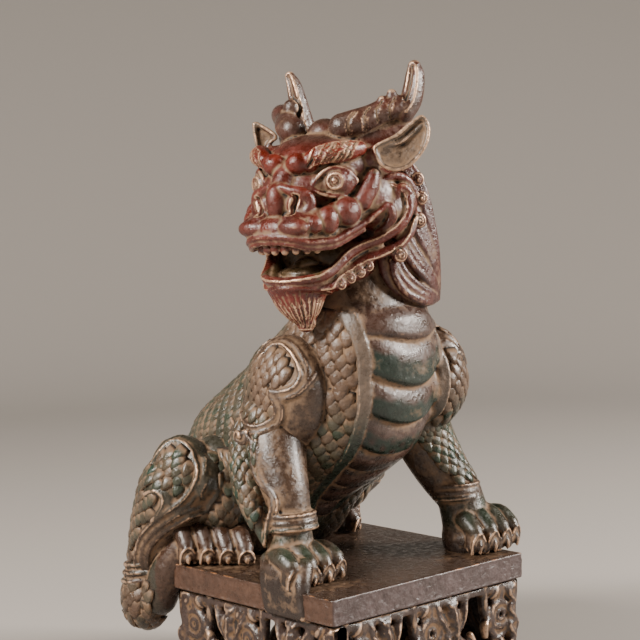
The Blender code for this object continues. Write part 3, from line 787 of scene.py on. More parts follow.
legs_wax.bar([(x + 0.2, y - 2.3, z, 0.9) for x, y, z in RIBBON[1:-2]])
curl = []
for t in np.linspace(0, 6, 12):
    angle = 2.6 + 1.1 * t
    curl.append((-45.7 - 0.3 * t, 6.2 + (3.4 - 0.42 * t) * cos(angle), 51.2 + (3.2 - 0.4 * t) * sin(angle),
        1.1))
legs_wax.bar(curl, 2)
for k in range(4):
    legs_wax.bar([(-44.5, 8 + k * 0.6, 52 - k * 1.2, 1.0), (-43.6, 12.5 + k * 0.7, 54.5 - 2.1 * k, 0.9),
        (-41.4, 17 + k * 0.5, 56.5 - 3.2 * k, 0.5)])
legs_wax.bar([(39, 6, 46, 6), (43, -1, 35, 5), (44, -8, 26, 3.5), (45, -13, 19, 1.2)])
paw(legs_wax, -38, 0, -28.5, 28, 15.5)
paw(legs_wax, 44, -12, -40.5, 27, 18)
legs = gathered("qilin_forelegs", [legs_wax])
fuse(legs, FORELEG_VOXEL, 1, 0.7)
points = figure_points(legs)
x, y, z = points.T
colours = np.tile(linear("4a382c"), (len(points), 1))
knuckle = np.clip((z - 7) / 4, 0, 1) * np.clip((22 - z) / 3, 0, 1) * (y < -3)
colours = paint(colours, 0.75 * knuckle * np.clip(0.7 + 0.6 * wander(points, 12, 2), 0, 1), "233a2d")
colours = paint(colours, np.clip((6 - z) / 4, 0, 1), "2f221b")
keep_colour(legs, "coat", colours)
keep_relief(legs, (4, 0.18), (24, 0.7), 0.40 + 0.09 * np.clip((z - 22) / 6, 0, 1))
legs.data.materials.append(lacquered_bronze)
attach(legs, "root")
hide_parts("qilin_on_slab")

# The hind legs
# The hocks hang down behind the slab and the hind paws come forward onto it. The left one is tucked
# further back than the right one. They are cast with the body.

HIND_LEG_VOXEL = 0.6

hind_wax, hind_skins = [], []
for side, tuck in ((-1, 0), (1, 12)):
    wax = Wax(FIGURE_PLACE @ Matrix.Diagonal((-side, 1, 1, 1)))
    wax.bar([(-47, 56, 8, 9.0), (-47, 61, 0, 8), (-47, 64, -14, 8.5), (-47, 65, -21, 8)])
    wax.ball((-47, 64, -17), (9, 10, 12))
    wax.bar([(-47, 56, -16, 7), (-46, 50 + tuck / 3, -4, 7.5), (-44, 44 + tuck / 2, 5, 6.5),
        (-41, 37 + tuck, 6.5, 6)])
    hind_skins.append(wax.surface())
    for k, x in enumerate([-48.5, -43.3, -38.3, -33.5]):
        y = 36.5 - 5.4 * k + tuck
        rise = 12.6 - 0.8 * k
        toe(wax, (x + 3.4, y + 12, rise * 0.72), (x + 1.4, y + 5, rise), (x, y, rise * 0.58), 3.3, -0.5)
    for k in range(3):
        z = -3 - 3.4 * k
        ring = [(-47 + 8.6 * sin(a), 62.5 + k + 8.8 * cos(a), z - 1.2 * cos(a), 1.1) for a in np.linspace(0.2,
            2 * pi - 0.2, 14)]
        wax.bar(ring, 2)
    hind_wax.append(wax)
hinds = gathered("qilin_hind_legs", hind_wax)
fuse(hinds, HIND_LEG_VOXEL, 1, 0.7)
points = figure_points(hinds)
x, y, z = points.T
colours = np.tile(linear("452f22"), (len(points), 1))
colours = paint(colours, 0.5 * (y > 50) * np.clip(0.5 + wander(points, 18, 3), 0, 1), "33443a")
keep_colour(hinds, "coat", colours)
keep_relief(hinds, (4, 0.18), (24, 0.7))
hinds.data.materials.append(lacquered_bronze)
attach(hinds, "root")
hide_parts("qilin_on_slab")

# The scales
# Overlapping U-shaped scales in staggered rows cover the trunk, the haunches and the outsides of the
# forelegs. They are part of the casting, domed, green in their middles and rubbed to tan at their tips.

FRONT_LINE = [(-20, 110), (-31, 97), (-34.5, 85), (-34, 72), (-30, 55), (-22, 41), (-12, 31), (0, 24),
    (10, 18)]
FRONT_LINE += [(22, 9), (36, 3), (48, -2), (56, -7)]
BACK_LINE = [(6, 114), (18, 100), (30, 88), (41, 80), (50, 69), (56, 66), (70, 58), (79, 49), (86, 42)]
BACK_LINE += [(88, 30), (84, 15), (76, 2), (66, -6)]
TRUNK_ROWS = 58

# One scale: a domed shield whose sides run down to a point inside the casting
bpy.ops.object.select_all(action="DESELECT")
bpy.ops.mesh.primitive_grid_add(x_subdivisions=4, y_subdivisions=4, size=2)
pattern = bpy.context.object
bpy.ops.object.mode_set(mode="EDIT")
bpy.ops.mesh.select_all(action="SELECT")
bpy.ops.mesh.extrude_region_move(TRANSFORM_OT_translate={"value": (0, 0, 2)})
bpy.ops.mesh.select_all(action="INVERT")
bpy.ops.mesh.merge(type="CENTER")
bpy.ops.mesh.select_all(action="SELECT")
bpy.ops.mesh.normals_make_consistent(inside=False)
bpy.ops.mesh.quads_convert_to_tris()
bpy.ops.object.mode_set(mode="OBJECT")
flat = np.array([v.co for v in pattern.data.vertices])
# The extruded faces come in any order, so they are sorted, each from its lowest corner on
SCALE_FACES = []
for polygon in pattern.data.polygons:
    corners = list(polygon.vertices)
    first = corners.index(min(corners))
    SCALE_FACES.append(corners[first:] + corners[:first])
SCALE_FACES = np.array(sorted(SCALE_FACES))
bpy.data.objects.remove(pattern)
across, v, base = flat[:, 0], (flat[:, 1] + 1) / 2, flat[:, 2] < 1
crest = 1 - np.where(v < 0.66, ((v - 0.66) / 0.66) ** 2, 0.5 * ((v - 0.66) / 0.34) ** 2)
dome = (1 - 0.72 * across**2) * crest * 1.15
SCALE_POINTS = np.column_stack(
    [across * (1 - 0.30 * v**3), v * (1 - 0.34 * across**2 * v), np.where(base, -2.2, dome)]
)
SCALE_RIM = np.clip(np.maximum(np.abs(across) - 0.6, (v - 0.72) * 1.2), 0, 1) * 1.3


class ScaleField:
    """Scales laid in staggered rows, with as many in a row as in the last while they still fit."""

    def __init__(self):
        self.points = []
        self.spots = []
        self.counts = {}

    def row(self, name, surface, centre, flow, zero, reach, widths, pitches, odd, keep, height):
        """One row in the plane square to the flow, to both sides of the zero direction."""
        flow = Vector(flow).normalized()
        first = Vector(zero)
        first = (first - flow * first.dot(flow)).normalized()
        second = flow.cross(first)
        for way, furthest in ((1, reach[1]), (-1, -reach[0])):
            spots, normals, share = [], [], []
            for a in np.arange(0, furthest, 2.0):
                out = first * cos(radians(a)) + second * way * sin(radians(a))
                hit, normal, _, _ = surface.ray_cast(FIGURE_PLACE @ (Vector(centre) + out * OUTSIDE), -out)
                if hit is not None:
                    spots.append(hit * 1000 - Vector((0, 0, SLAB_TOP)))
                    normals.append(normal)
                    share.append((1 + cos(radians(a))) / 2)
            if len(spots) < 3:
                continue
            spots, normals, share = np.array(spots), np.array(normals), np.array(share)
            width = widths[0] * share + widths[1] * (1 - share)
            steps = np.linalg.norm(np.diff(spots, axis=0), axis=1)
            taken = np.concatenate([[0], np.cumsum(steps / width[1:])])
            count = self.counts.get((name, way), 0)
            if abs(taken[-1] / max(count, 1) - 1) > 0.09:
                count = self.counts[(name, way)] = max(round(taken[-1]), 1)
            fit = taken[-1] / count
            for n in range(count + 1):
                at = (n + (0.5 if odd else 0.0)) * fit
                if at > taken[-1] or (way < 0 and at == 0):
                    continue
                spot = Vector([np.interp(at, taken, spots[:, k]) for k in range(3)])
                normal = Vector([np.interp(at, taken, normals[:, k]) for k in range(3)]).normalized()
                if not keep(spot, normal):
                    continue
                near = np.interp(at, taken, share)
                pitch = pitches[0] * near + pitches[1] * (1 - near)
                broad = (widths[0] * near + widths[1] * (1 - near)) * fit
                down = (flow - normal * flow.dot(normal)).normalized()
                side = down.cross(normal)
                grow = np.array((side * broad * 0.56, down * pitch * 2.7, normal * height))
                self.points.append(SCALE_POINTS @ grow + np.array(spot - down * pitch * 1.35))
                self.spots.append(spot)

    def along(self, name, surface, axis, zero, reach, width, keep, height, tapers=(1, 1, 1)):
        """Rows square to an axis, one for each step of it, that reach less far where they taper."""
        for k in range(len(axis) - 1):
            flow = axis[k + 1] - axis[k]
            pitch = np.linalg.norm(flow)
            wide = reach * np.interp(k / len(axis), [0, 0.5, 1], tapers)
            ends, widths, pitches = (-wide, wide), (width, width), (pitch, pitch)
            self.row(name, surface, axis[k], flow, zero, ends, widths, pitches, k % 2, keep, height)

    def piece(self, name):
        """All the field's scales as one object."""
        count = len(self.points)
        faces = (SCALE_FACES[None] + np.arange(count)[:, None, None] * len(SCALE_POINTS)).reshape(-1, 3)
        mesh = bpy.data.meshes.new(name)
        mesh.from_pydata((np.vstack(self.points) + (0, 0, SLAB_TOP)) * MM, [], faces.tolist())
        scales = bpy.data.objects.new(name, mesh)
        bpy.context.collection.objects.link(scales)
        select_only(scales)
        bpy.ops.object.mode_set(mode="EDIT")
        bpy.ops.mesh.select_all(action="SELECT")
        bpy.ops.mesh.normals_make_consistent(inside=False)
        bpy.ops.object.mode_set(mode="OBJECT")
        bpy.ops.object.shade_smooth()
        return scales


def arc_points(line, count):
    """Evenly spaced points along a smooth curve through the given ones."""
    path = smooth_path(line, 10)
    run = np.concatenate([[0], np.cumsum(np.linalg.norm(np.diff(path, axis=0), axis=1))])
    wanted = np.linspace(0, run[-1], count)
    return np.column_stack([np.interp(wanted, run, path[:, k]) for k in range(path.shape[1])])


def inside_outline(y, z, outline):
    """Whether a side-on place lies within a closed outline."""
    p = np.array(outline)
    q = np.roll(p, -1, axis=0)
    crossing = (p[:, 1] > z) != (q[:, 1] > z)
    reach = (q[:, 0] - p[:, 0]) * (z - p[:, 1]) / (q[:, 1] - p[:, 1] + 1e-9) + p[:, 0]
    return (crossing & (y < reach)).sum() % 2 == 1


def rims_of(side):
    """The rims on one side of the figure, as places seen from the side."""
    forward, higher = ((0, 0), (-9, 4))[side > 0]
    shoulder = np.array(SHOULDER_RIM) + (forward, higher)
    return shoulder, np.array(HAUNCH_RIM), np.array(THIGH_HOOK)


def rim_gap(spot, rim, distance):
    """How far a place is from a rim's line, seen from the side, in millimetres."""
    path = moved_aside(rim, distance)
    return np.hypot(path[:, 0] - spot.y, path[:, 1] - spot.z).min()


SHOULDER_END = [(30, 74), (16, 92)]
HAUNCH_END = [(70, -30), (90, -30), (90, 30), (66, 44)]


def off_rims(spot):
    """How far a place is from the nearest rim, in millimetres."""
    return np.linalg.norm(RIM_POINTS - np.array(spot), axis=1).min()


def on_trunk(spot, normal):
    near, far = strap_edges(spot.z)
    if spot.y < 16 and near - 3.2 < spot.x < far + 3.2 and normal.y < 0.3:
        return False
    if spot.z > 108 or (spot.z < 1.0 and spot.y < 45):
        return False
    cover = landed(bare_body, spot + normal * 25, -normal)
    if cover is not None and (cover - spot).dot(normal) > 1.0:
        return False
    return off_rims(spot) > 3.6


RIM_POINTS = np.array(RIM_SPOTS)
trunk_field, limb_field = ScaleField(), ScaleField()
front, rear = arc_points(FRONT_LINE, TRUNK_ROWS), arc_points(BACK_LINE, TRUNK_ROWS)
for k in range(TRUNK_ROWS - 1):
    middle, span = (front[k] + rear[k]) / 2, front[k] - rear[k]
    nearer, further = front[k + 1] - front[k], rear[k + 1] - rear[k]
    flow = np.array((-span[1], span[0]))
    flow = flow * np.sign(flow @ (nearer + further))
    pitches = np.hypot(*nearer), np.hypot(*further)
    trunk_field.row("trunk", bare_trunk, (0, *middle), (0, *flow), (0, *span), (-180, 180), (6.0, 4.8),
        pitches, k % 2, on_trunk, 1.15)

for side in (-1, 1):
    shoulder, haunch, hook = rims_of(side)

    def on_shoulder(spot, normal, side=side, shoulder=shoulder):
        if side * spot.x < 24 or rim_gap(spot, shoulder, 0) < 2.0:
            return False
        return inside_outline(spot.y, spot.z, [*shoulder, *SHOULDER_END])

    def on_haunch(spot, normal, side=side, haunch=haunch, hook=hook):
        if side * spot.x < 30 or rim_gap(spot, haunch, 0) < 2.0 or rim_gap(spot, hook, 0) < 1.8:
            return False
        return inside_outline(spot.y, spot.z, [*haunch, *HAUNCH_END]) and spot.z > -4

    shift = np.array((0, 0, 0)) if side < 0 else np.array((0, -9, 4))
    axis = arc_points([(side * 14, 0, 92), (side * 18, 0, 76), (side * 22, 2, 62), (side * 26, 4, 48)],
        17) + shift
    limb_field.along(("shoulder", side), bare_body, axis, (side, 0, 0), 120, 4.6, on_shoulder, 1.0)
    axis = arc_points([(side * 34, 32, 52), (side * 38, 40, 38), (side * 42, 47, 24), (side * 45, 56, 10),
        (side * 46, 61, -6)], 25)
    limb_field.along(("haunch", side), bare_body, axis, (side, 0.3, 0.2), 150, 4.8, on_haunch, 1.1)


def on_flank(spot, normal):
    if not 12 < spot.y < 36 or not 24 < abs(spot.x) < 50 or not 6 < spot.z < 42 or normal.y > -0.2:
        return False
    return off_rims(spot) > 3.4


for side in (-1, 1):
    for k in range(15):
        limb_field.row(("flank", side), bare_body, (side * 33, 37, 49 - 2.9 * k), (0, 0, -1),
            (side * 0.5, -0.85, 0), (-75, 75), (5.2, 5.2), (2.9, 2.9), k % 2, on_flank, 1.1)


def on_far_front(spot, normal):
    far = strap_edges(spot.z)[1]
    return spot.x > far + 1.5 and spot.y < -8 and off_rims(spot) > 3.6


for k in range(16):
    limb_field.row("far front", bare_body, (31, -11, 86 - 2.7 * k), (0, 0, -1), (0.3, -1, 0), (-80, 110),
        (4.8, 4.8), (2.7, 2.7), k % 2, on_far_front, 1.1)


def on_hock(spot, normal):
    return spot.y > 54 and spot.z < -11


for side, skin in zip((-1, 1), hind_skins):
    for k in range(9):
        limb_field.row(("hock", side), skin, (side * 46, 62, -11 - 2.5 * k), (0, 0.1, -1), (side, 0.6, 0),
            (-110, 110), (5.4, 5.4), (2.6, 2.6), k % 2, on_hock, 1.0)


def on_tuft(spot, normal):
    return spot.z > 15


for name, axis, zero, reach, taper in (
    ("tuft", arc_points([(-35, 6, 53), (-38, 4, 44), (-41, 1, 35), (-43, -2, 26), (-45, -4, 18)], 17),
        (-1, 0.45, 0), 62, 0.5),
    ("arm", arc_points([(29, -5, 58), (33, -7, 45), (37, -13, 33), (40, -19, 22)], 17), (0.75, -0.75, 0.4),
        100, 0.8),
):
    limb_field.along(name, leg_skin, axis, zero, reach, 4.0, on_tuft, 0.9, (1, 0.9, taper))

for name, field in (("trunk_scales", trunk_field), ("limb_scales", limb_field)):
    scales = field.piece(name)
    per = np.repeat(np.array([tuple(spot) for spot in field.spots]), len(SCALE_POINTS), axis=0)
    x, y, z = per.T
    colours = np.tile(linear("6b5443"), (len(per), 1))
    lively = wander(per, 11, 3)
    colours = paint(colours, np.clip((64 - z) / 10, 0, 1) * (y < 8) * np.clip(0.6 + 0.6 * lively, 0, 1),
        "1c3a2b")
    colours = paint(colours, np.clip((y - 4) / 8, 0, 1) * np.clip(0.55 + 0.5 * lively, 0, 1), "203c2e")
    colours = paint(colours, np.clip((24 - z) / 20, 0, 1) * (y > 20)
        * np.clip(0.6 + 0.7 * wander(per, 16, 6), 0, 1), "604a3b")
    colours = paint(colours, (z < 40) * (y > 48) * np.clip(0.1 + 0.9 * wander(per, 15, 9), 0, 1), "63452c")
    keep_colour(scales, "coat", colours)
    count = len(field.spots)
    keep_number(scales, "ridge", np.clip(0.28 + 0.8 * np.tile(SCALE_RIM, count), 0, 1))
    # Each scale's root, under the tip of the scale above, gets the highest hollow amount: earth there, and
    # near-black painted shade where it runs highest, standing in for the overlap's shadow
    low = np.clip(0.30 + 0.78 * np.tile(1 - v, count) - 0.42 * np.tile(dome, count), 0, 1.3)
    keep_number(scales, "hollow", low)
    scales.data.materials.append(lacquered_bronze)
    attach(scales, "root")
    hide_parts("qilin_on_slab")

# The head
# The head is turned to the figure's right: a bulging nose and lips over open jaws, ringed eyes under heavy
# brows, leaf-shaped ears with a pale rim, and branched horns. It is cast with the body and lacquered red.

HEAD_VOXEL = 0.52
HEAD_PLACE = (
    FIGURE_PLACE
    @ Matrix.Translation((-6, -5, 143))
    @ Matrix.Rotation(radians(-79), 4, "Z")
    @ Matrix.Rotation(radians(-1.5), 4, "Y")
)
# The near side of the face, in millimetres from the middle of the skull, with each form's radius
EAR_RIM = [(25.5, -11.0, 7.0), (24.8, -11.0, 9.6), (25.7, -10.1, 10.8), (28.1, -7.9, 12.2),
    (30.7, -5.4, 13.9)]
EAR_RIM += [(33.2, -2.7, 16.6), (35.5, -0.3, 19.0), (37.3, 1.4, 20.1), (38.8, 2.2, 17.6), (39.3, 1.9, 14.1)]
EAR_RIM += [(38.4, 0.6, 9.7), (36.2, -1.9, 5.4), (33.4, -4.7, 2.6), (30.1, -7.7, 2.0), (27.1, -10.0, 3.8)]
EAR_FOLD = [(26.4, -9.6, 9.6), (28.6, -7.6, 10.5), (31.4, -5.0, 11.4), (34.1, -2.0, 13.8), (36.8, 0.8, 16.8)]
EAR_FACING = np.array((0.6, -0.78, 0.2))
FAR_EAR_RIM = [(-31.0, -7.9, 21.1), (-30.6, -7.5, 21.6), (-27.9, -6.3, 20.0), (-24.7, -4.9, 17.5),
    (-23.8, -4.5, 15.8), (-25.0, -5.5, 14.8)]
FAR_EAR_RIM += [(-26.5, -6.8, 12.3), (-27.7, -7.4, 9.0), (-28.4, -7.5, 7.1), (-29.3, -7.8, 10.8),
    (-30.4, -8.0, 15.9)]
HORN_BEAM = [(11.2, -10.9, 18.0, 5.0), (15.3, -7.8, 19.4, 4.9), (18.8, -3.8, 21.0, 4.6),
    (22.1, -0.5, 23.0, 4.4)]
HORN_BEAM += [(25.5, 2.7, 24.2, 4.3), (27.4, 4.8, 24.6, 4.0)]
NEAR_PRONG = [(27.2, 5.0, 22.5, 4.2), (28.8, 7.3, 26.1, 4.1), (29.4, 9.0, 31.2, 3.9), (29.5, 10.0, 36.0, 3.4)]
NEAR_PRONG += [(29.3, 10.2, 38.6, 2.5)]
FAR_PRONG = [(-14.9, 1.3, 19.6, 4.3), (-15.9, 1.1, 24.3, 3.9), (-16.9, 0.9, 29.6, 3.4),
    (-18.1, 0.7, 35.0, 2.8)]
FAR_PRONG += [(-19.4, 0.2, 38.4, 1.9)]
BROW = [(9.4, -29.0, 6.6, 2.9), (12.6, -27.8, 8.0, 3.5), (16.3, -24.3, 9.0, 3.8), (19.4, -19.6, 9.4, 3.7)]
BROW += [(21.4, -15.6, 10.0, 2.8)]
LIP_LUMPS = [((8.6, -39.6, -16.6), (6.4, 3.8, 3.3)), ((14.0, -34.0, -15.8), (3.0, 3.6, 3.2))]
LIP_LUMPS += [((16.4, -29.2, -14.6), (3.7, 4.2, 5.0)), ((19.5, -21.9, -12.0), (4.6, 5.6, 5.2))]
CHEEK_RIDGE = [(22.1, -16.2, -8.6, 3.6), (23.6, -13.4, -3.8, 3.4), (24.4, -11.8, 0.4, 2.4)]
UPPER_LIP = [(0, -42.3, -19.6, 1.2), (5, -42.0, -19.8, 1.2), (9.2, -40.9, -20.5, 1.2),
    (12.9, -37.3, -21.9, 1.2)]
UPPER_LIP += [(15.6, -32.9, -22.0, 1.3), (18.2, -28.3, -21.6, 1.3), (20.6, -22.6, -19.1, 1.3)]
UPPER_LIP += [(23.0, -17.3, -16.5, 1.3), (25.8, -12.3, -12.8, 1.2), (27.6, -9.1, -10.3, 1.0)]
LOWER_LIP = [(0, -35.6, -35.9, 1.7), (5.5, -34.9, -35.5, 1.7), (9.8, -32.2, -35.0, 1.7),
    (12.9, -28.2, -34.0, 1.8)]
LOWER_LIP += [(14.8, -24.2, -31.8, 1.8), (17.2, -18.6, -27.2, 1.8), (20.3, -14.0, -24.4, 1.8)]
LOWER_LIP += [(24.3, -10.4, -22.6, 1.8), (27.6, -7.3, -20.5, 1.8), (30.4, -3.6, -17.2, 1.8),
    (31.6, -0.3, -12.0, 1.7)]
LOWER_LIP += [(30.4, -0.8, -6.5, 1.5), (27.2, -4.6, -3.6, 1.0)]
UNDER_LIP = [(11.6, -27.6, -38.4, 1.5), (14.6, -25.2, -37.8, 1.6), (16.0, -21.4, -34.2, 1.7),
    (18.0, -18.2, -32.0, 1.8)]
UNDER_LIP += [(21.6, -13.4, -29.0, 1.8), (25.2, -8.8, -27.3, 1.8), (29.2, -3.4, -24.5, 1.8),
    (31.2, 0.4, -20.4, 1.6)]
UNDER_LIP += [(31.8, 2.8, -15.7, 1.2)]
MOUTH_FLAMES = [
    [(22.9, -8.6, -20.5, 1.5), (26.2, -7.6, -18.2, 1.7), (28.2, -6.8, -14.6, 1.8), (28, -7.8, -11.1, 1.6),
        (26.2, -9.2, -12.1, 1.1)],
    [(28.6, -3.9, -9.2, 1.1), (28.9, -3.6, -5.4, 1.5), (30.6, -1.4, -4.6, 1.5), (31.6, 1.4, -8.8, 1.6),
        (31.2, 3.2, -13.4, 1.3)],
    [(25.6, -6.8, -1.4, 1.3), (27.8, -3.2, -0.2, 1.6), (30.0, 1.4, -2.2, 1.7), (31.2, 4.6, -7.4, 1.4)],
]
EYE_TOP = [(10.0, -29.6, -3.3), (12.0, -28.3, 0.4), (14.6, -26.6, 2.8), (17.5, -24.2, 3.5),
    (20.2, -21.2, 2.1), (21.7, -18.2, -1.4)]
EYE_FOOT = [(10.0, -29.6, -3.3), (13.2, -28.0, -5.4), (16.6, -25.0, -6.4), (19.6, -21.4, -5.2),
    (21.7, -18.2, -1.4)]
CURLS = [((16.2, -23.0, -37.6), 2.1), ((18.3, -19.8, -35.6), 2.1), ((20.4, -16.8, -33.8), 2.1),
    ((22.2, -14.0, -31.8), 2.0)]
CURLS += [((28.4, -3.4, -28.2), 3.2), ((30.6, 6.4, -16.6), 3.2), ((28.4, 10.2, -1.8), 2.8),
    ((30.6, 8.6, -8.6), 2.8)]


def mirrored(points, sign):
    """A head path given for the near side, on either side of the face."""
    return [(sign * x, *rest) for x, *rest in points]


def ringed(centre, facing, size, turns=1.0, steps=12):
    """Points on a ring, or on a spiral of more turns, that faces a direction."""
    facing = Vector(facing).normalized()
    across = facing.cross((0, 0, 1)).normalized()
    up = across.cross(facing)
    angles = np.linspace(0, 2 * pi * turns, int(steps * turns) + 1)
    sizes = size * (1 - (angles / angles[-1]) * (0.85 if turns > 1 else 0))
    return [tuple(Vector(centre) + across * r * cos(a) + up * r * sin(a)) for a, r in zip(angles, sizes)]


def chased(piece, place, strokes):
    """Raises or cuts a skin along lines, as wax is chased: paths with a half width and a height in mm."""
    tree = BVHTree.FromObject(piece, bpy.context.evaluated_depsgraph_get())
    points, normals = skin_points(piece), skin_normals(piece)
    local = carried(points, place.inverted())
    height = np.zeros(len(points))
    for path, wide, high in strokes:
        snapped = []
        for spot in smooth_path([p[:3] for p in path], 3):
            found = tree.find_nearest(place @ Vector(spot))[0]
            snapped.append(tuple(place.inverted() @ found))
        snapped = np.array(snapped)
        near = np.flatnonzero(((local > snapped.min(0) - wide) & (local < snapped.max(0) + wide)).all(1))
        gap = np.full(len(near), 99.0)
        for start, end in zip(snapped[:-1], snapped[1:]):
            step = end - start
            t = np.clip((local[near] - start) @ step / (step @ step + 1e-9), 0, 1)
            gap = np.minimum(gap, np.linalg.norm(local[near] - start - t[:, None] * step, axis=1))
        height[near] += high * np.clip(1 - (gap / wide) ** 2, 0, 1) ** 1.5
    points += normals * (height * MM)[:, None]
    piece.data.vertices.foreach_set("co", points.ravel())
    piece.data.update()


head_wax = Wax(HEAD_PLACE)
head_wax.ball((0, 4, 1), (23, 25, 19))
head_wax.ball((0, 13, -14), (24.5, 20, 26))
head_wax.ball((0, -8, 4), (22.5, 21, 12.5))
head_wax.ball((0, -18, -3), (16, 16, 10))
head_wax.ball((0.5, -6.6, 15.5), (6.6, 7, 6.2))
head_wax.bar([(0, -22, 4.5, 5.0), (0, -29.5, 1.5, 5.0), (0, -33.5, -3, 4.2)])
head_wax.ball((0, -37.2, -7.6), (3.7, 3.7, 6.6))
head_wax.ball((0, -29, -11), (11, 8.5, 7))
head_wax.bar([(-9, -37, -17.5, 4.4), (0, -38.4, -17.3, 4.6), (9, -37, -17.5, 4.4)])
head_wax.ball((0, -13, -14), (20, 16, 9))
head_wax.ball((0, -14, -37.4), (13.6, 19.4, 4.2))
head_wax.ball((0, -16, -33.4), (10.8, 15, 3.6))
head_wax.ball((0, -15, -30.6), (5.5, 12, 3.2))
head_wax.ball((0, -8, -30), (20, 12, 12))
strokes = []
for sign in (-1, 1):
    head_wax.ball((sign * 19, -3, -8), (9.6, 14, 12))
    head_wax.ball((sign * 18, -8.5, -4), (6.5, 7.5, 8))
    lumps = [(x - 1.9, y + 2.3, z + 0.6, 4.6) for (x, y, z), _ in LIP_LUMPS]
    head_wax.bar(mirrored([*lumps, *[(x - 2.4, y + 2.4, z, r + 1) for x, y, z, r in CHEEK_RIDGE]], sign))
    head_wax.bar(mirrored([(x - 2.6, y + 2.4, z + 1.4, 2.8) for x, y, z, r in UPPER_LIP], sign))
    head_wax.bar(mirrored([(x - 1.9, y + 1.7, z - 1.4, 2.7) for x, y, z, r in LOWER_LIP[:8]], sign))
    head_wax.ball((sign * 26, 1, -12), (4.8, 9.5, 12), (0, sign * -6, 0))
    head_wax.ball((sign * 14.2, -19.4, -1.2), (7.0, 7.8, 6.6), (0, 0, sign * 38))
    head_wax.ball((sign * 14.8, -21.5, -1.3), (5.0, 5.2, 4.6))
    head_wax.bar(mirrored([(*p, 0.85) for p in EYE_TOP], sign))
    head_wax.bar(mirrored([(*p, 0.8) for p in EYE_FOOT], sign))
    gaze = Vector((sign * 0.52, -0.85, 0.03))
    iris = Vector((sign * 14.8, -21.5, -1.3)) + gaze * 5.0
    strokes.append((ringed(iris, gaze, 2.7), 0.8, 0.5))
    strokes.append((ringed(iris, gaze, 1.5), 0.6, -0.5))
    head_wax.bar(mirrored(BROW, sign))
    head_wax.ball((sign * 5.2, -30.8, 5.6), (4.2, 4.0, 3.9))
    head_wax.ball((sign * 7.4, -27.6, 5.4), (4.4, 4.4, 3.6))
    brow = smooth_path(BROW, 8)
    for k in range(11):
        a, b, c = [brow[min(int(2.4 * k) + n, len(brow) - 1)] for n in (0, 3, 6)]
        hair = [
            (a[0] + 0.10 * a[3], a[1] - 0.62 * a[3], a[2] - 0.86 * a[3]),
            (b[0] + 0.45 * b[3], b[1] - 0.92 * b[3], b[2] + 0.02 * b[3]),
            (c[0] + 0.30 * c[3], c[1] - 0.50 * c[3], c[2] + 0.90 * c[3]),
        ]
        strokes.append((mirrored(hair, sign), 0.62, -0.75))
    wing = [(2.4, -37.2, -2.4, 1.4), (6.6, -36.2, -4.0, 2.0), (10.2, -34.2, -5.2, 2.3),
        (11.7, -33.0, -8.4, 2.3)]
    wing += [(10.4, -34.6, -11.8, 2.0), (6.6, -38.0, -13.6, 1.5)]
    head_wax.bar(mirrored(wing, sign))
    head_wax.ball((sign * 6.4, -33.8, -8.6), (4.8, 3.8, 5.4))
    strokes.append((mirrored([(8.4, -37.0, -6.6), (7.8, -38.0, -8.8), (7.0, -39.0, -11.0)], sign), 1.5, -2.6))
    for centre, radii in LIP_LUMPS:
        head_wax.ball((sign * centre[0], *centre[1:]), radii)
    head_wax.bar(mirrored(CHEEK_RIDGE, sign))
    head_wax.bar(mirrored(UPPER_LIP, sign))
    head_wax.bar(mirrored([(x * 0.96, y + 0.9, z - 2.1, r * 0.9) for x, y, z, r in UPPER_LIP[:8]], sign))
    head_wax.bar(mirrored(LOWER_LIP, sign))
    head_wax.bar(mirrored(UNDER_LIP, sign))
    strokes.append((mirrored([(x + 0.2, y - 1.2, z + 0.2) for x, y, z, r in LOWER_LIP], sign), 0.6, 0.45))
    strokes.append((mirrored([(x + 0.2, y - 1.2, z - 0.6) for x, y, z, r in UNDER_LIP], sign), 0.6, 0.45))
    for flame in MOUTH_FLAMES:
        head_wax.bar(mirrored(flame, sign))
    for (x, y, z), size in CURLS:
        facing = (sign * 0.75, -0.62, -0.1)
        head_wax.ball((sign * x, y, z), (size * 0.95, size * 0.95, size))
        front = Vector((sign * x, y, z)) + Vector(facing) * size * 0.9
        strokes.append((ringed(front, facing, size * 0.95, 1.7), 0.55, -0.7))
    rim = np.array(mirrored(EAR_RIM, sign)) if sign > 0 else np.array(FAR_EAR_RIM)
    facing = EAR_FACING if sign > 0 else np.array((0.2, -0.97, 0.1))
    middle = rim.mean(0)
    inner, outer = rim - facing * 0.4, middle + (rim - middle) * 0.92 - facing * 3.0
    around = len(rim)
    fan = [(n, (n + 1) % around, 2 * around) for n in range(around)]
    fan += [(around + (n + 1) % around, around + n, 2 * around + 1) for n in range(around)]
    fan += [(n, around + n, around + (n + 1) % around, (n + 1) % around) for n in range(around)]
    head_wax.add(np.vstack([inner, outer, middle - facing * 1.7, middle - facing * 4.4]), fan)
    head_wax.bar([(*p, 0.85) for p in [*rim, rim[0]]], 3)
    if sign > 0:
        head_wax.bar([(x, y + 0.6, z, 0.75) for x, y, z in EAR_FOLD])
    head_wax.bar(mirrored([(21, -9, 6, 4.2), (24.4, -7.4, 8, 3.4), (28, -4.6, 10, 2.2)], sign))
    head_wax.bar(mirrored(HORN_BEAM, sign))
    head_wax.bar(mirrored([(13, -4, 12.5, 6.4), (19, 2, 14.5, 6.4), (24, 6.5, 16.5, 5.4)], sign))
head_wax.bar([(-17, -4, 8, 5), (-22.5, -5.5, 9.5, 3.8), (-26.5, -6.2, 10.5, 2.2)])
head_wax.bar(NEAR_PRONG)
head_wax.bar(FAR_PRONG)
head_wax.bar([(25.0, 1.6, 26.4, 2.4), (24.8, 1.4, 29.0, 1.9)])
head_wax.ball((22.6, -1.4, 26.8), (2.0, 2.0, 1.8))
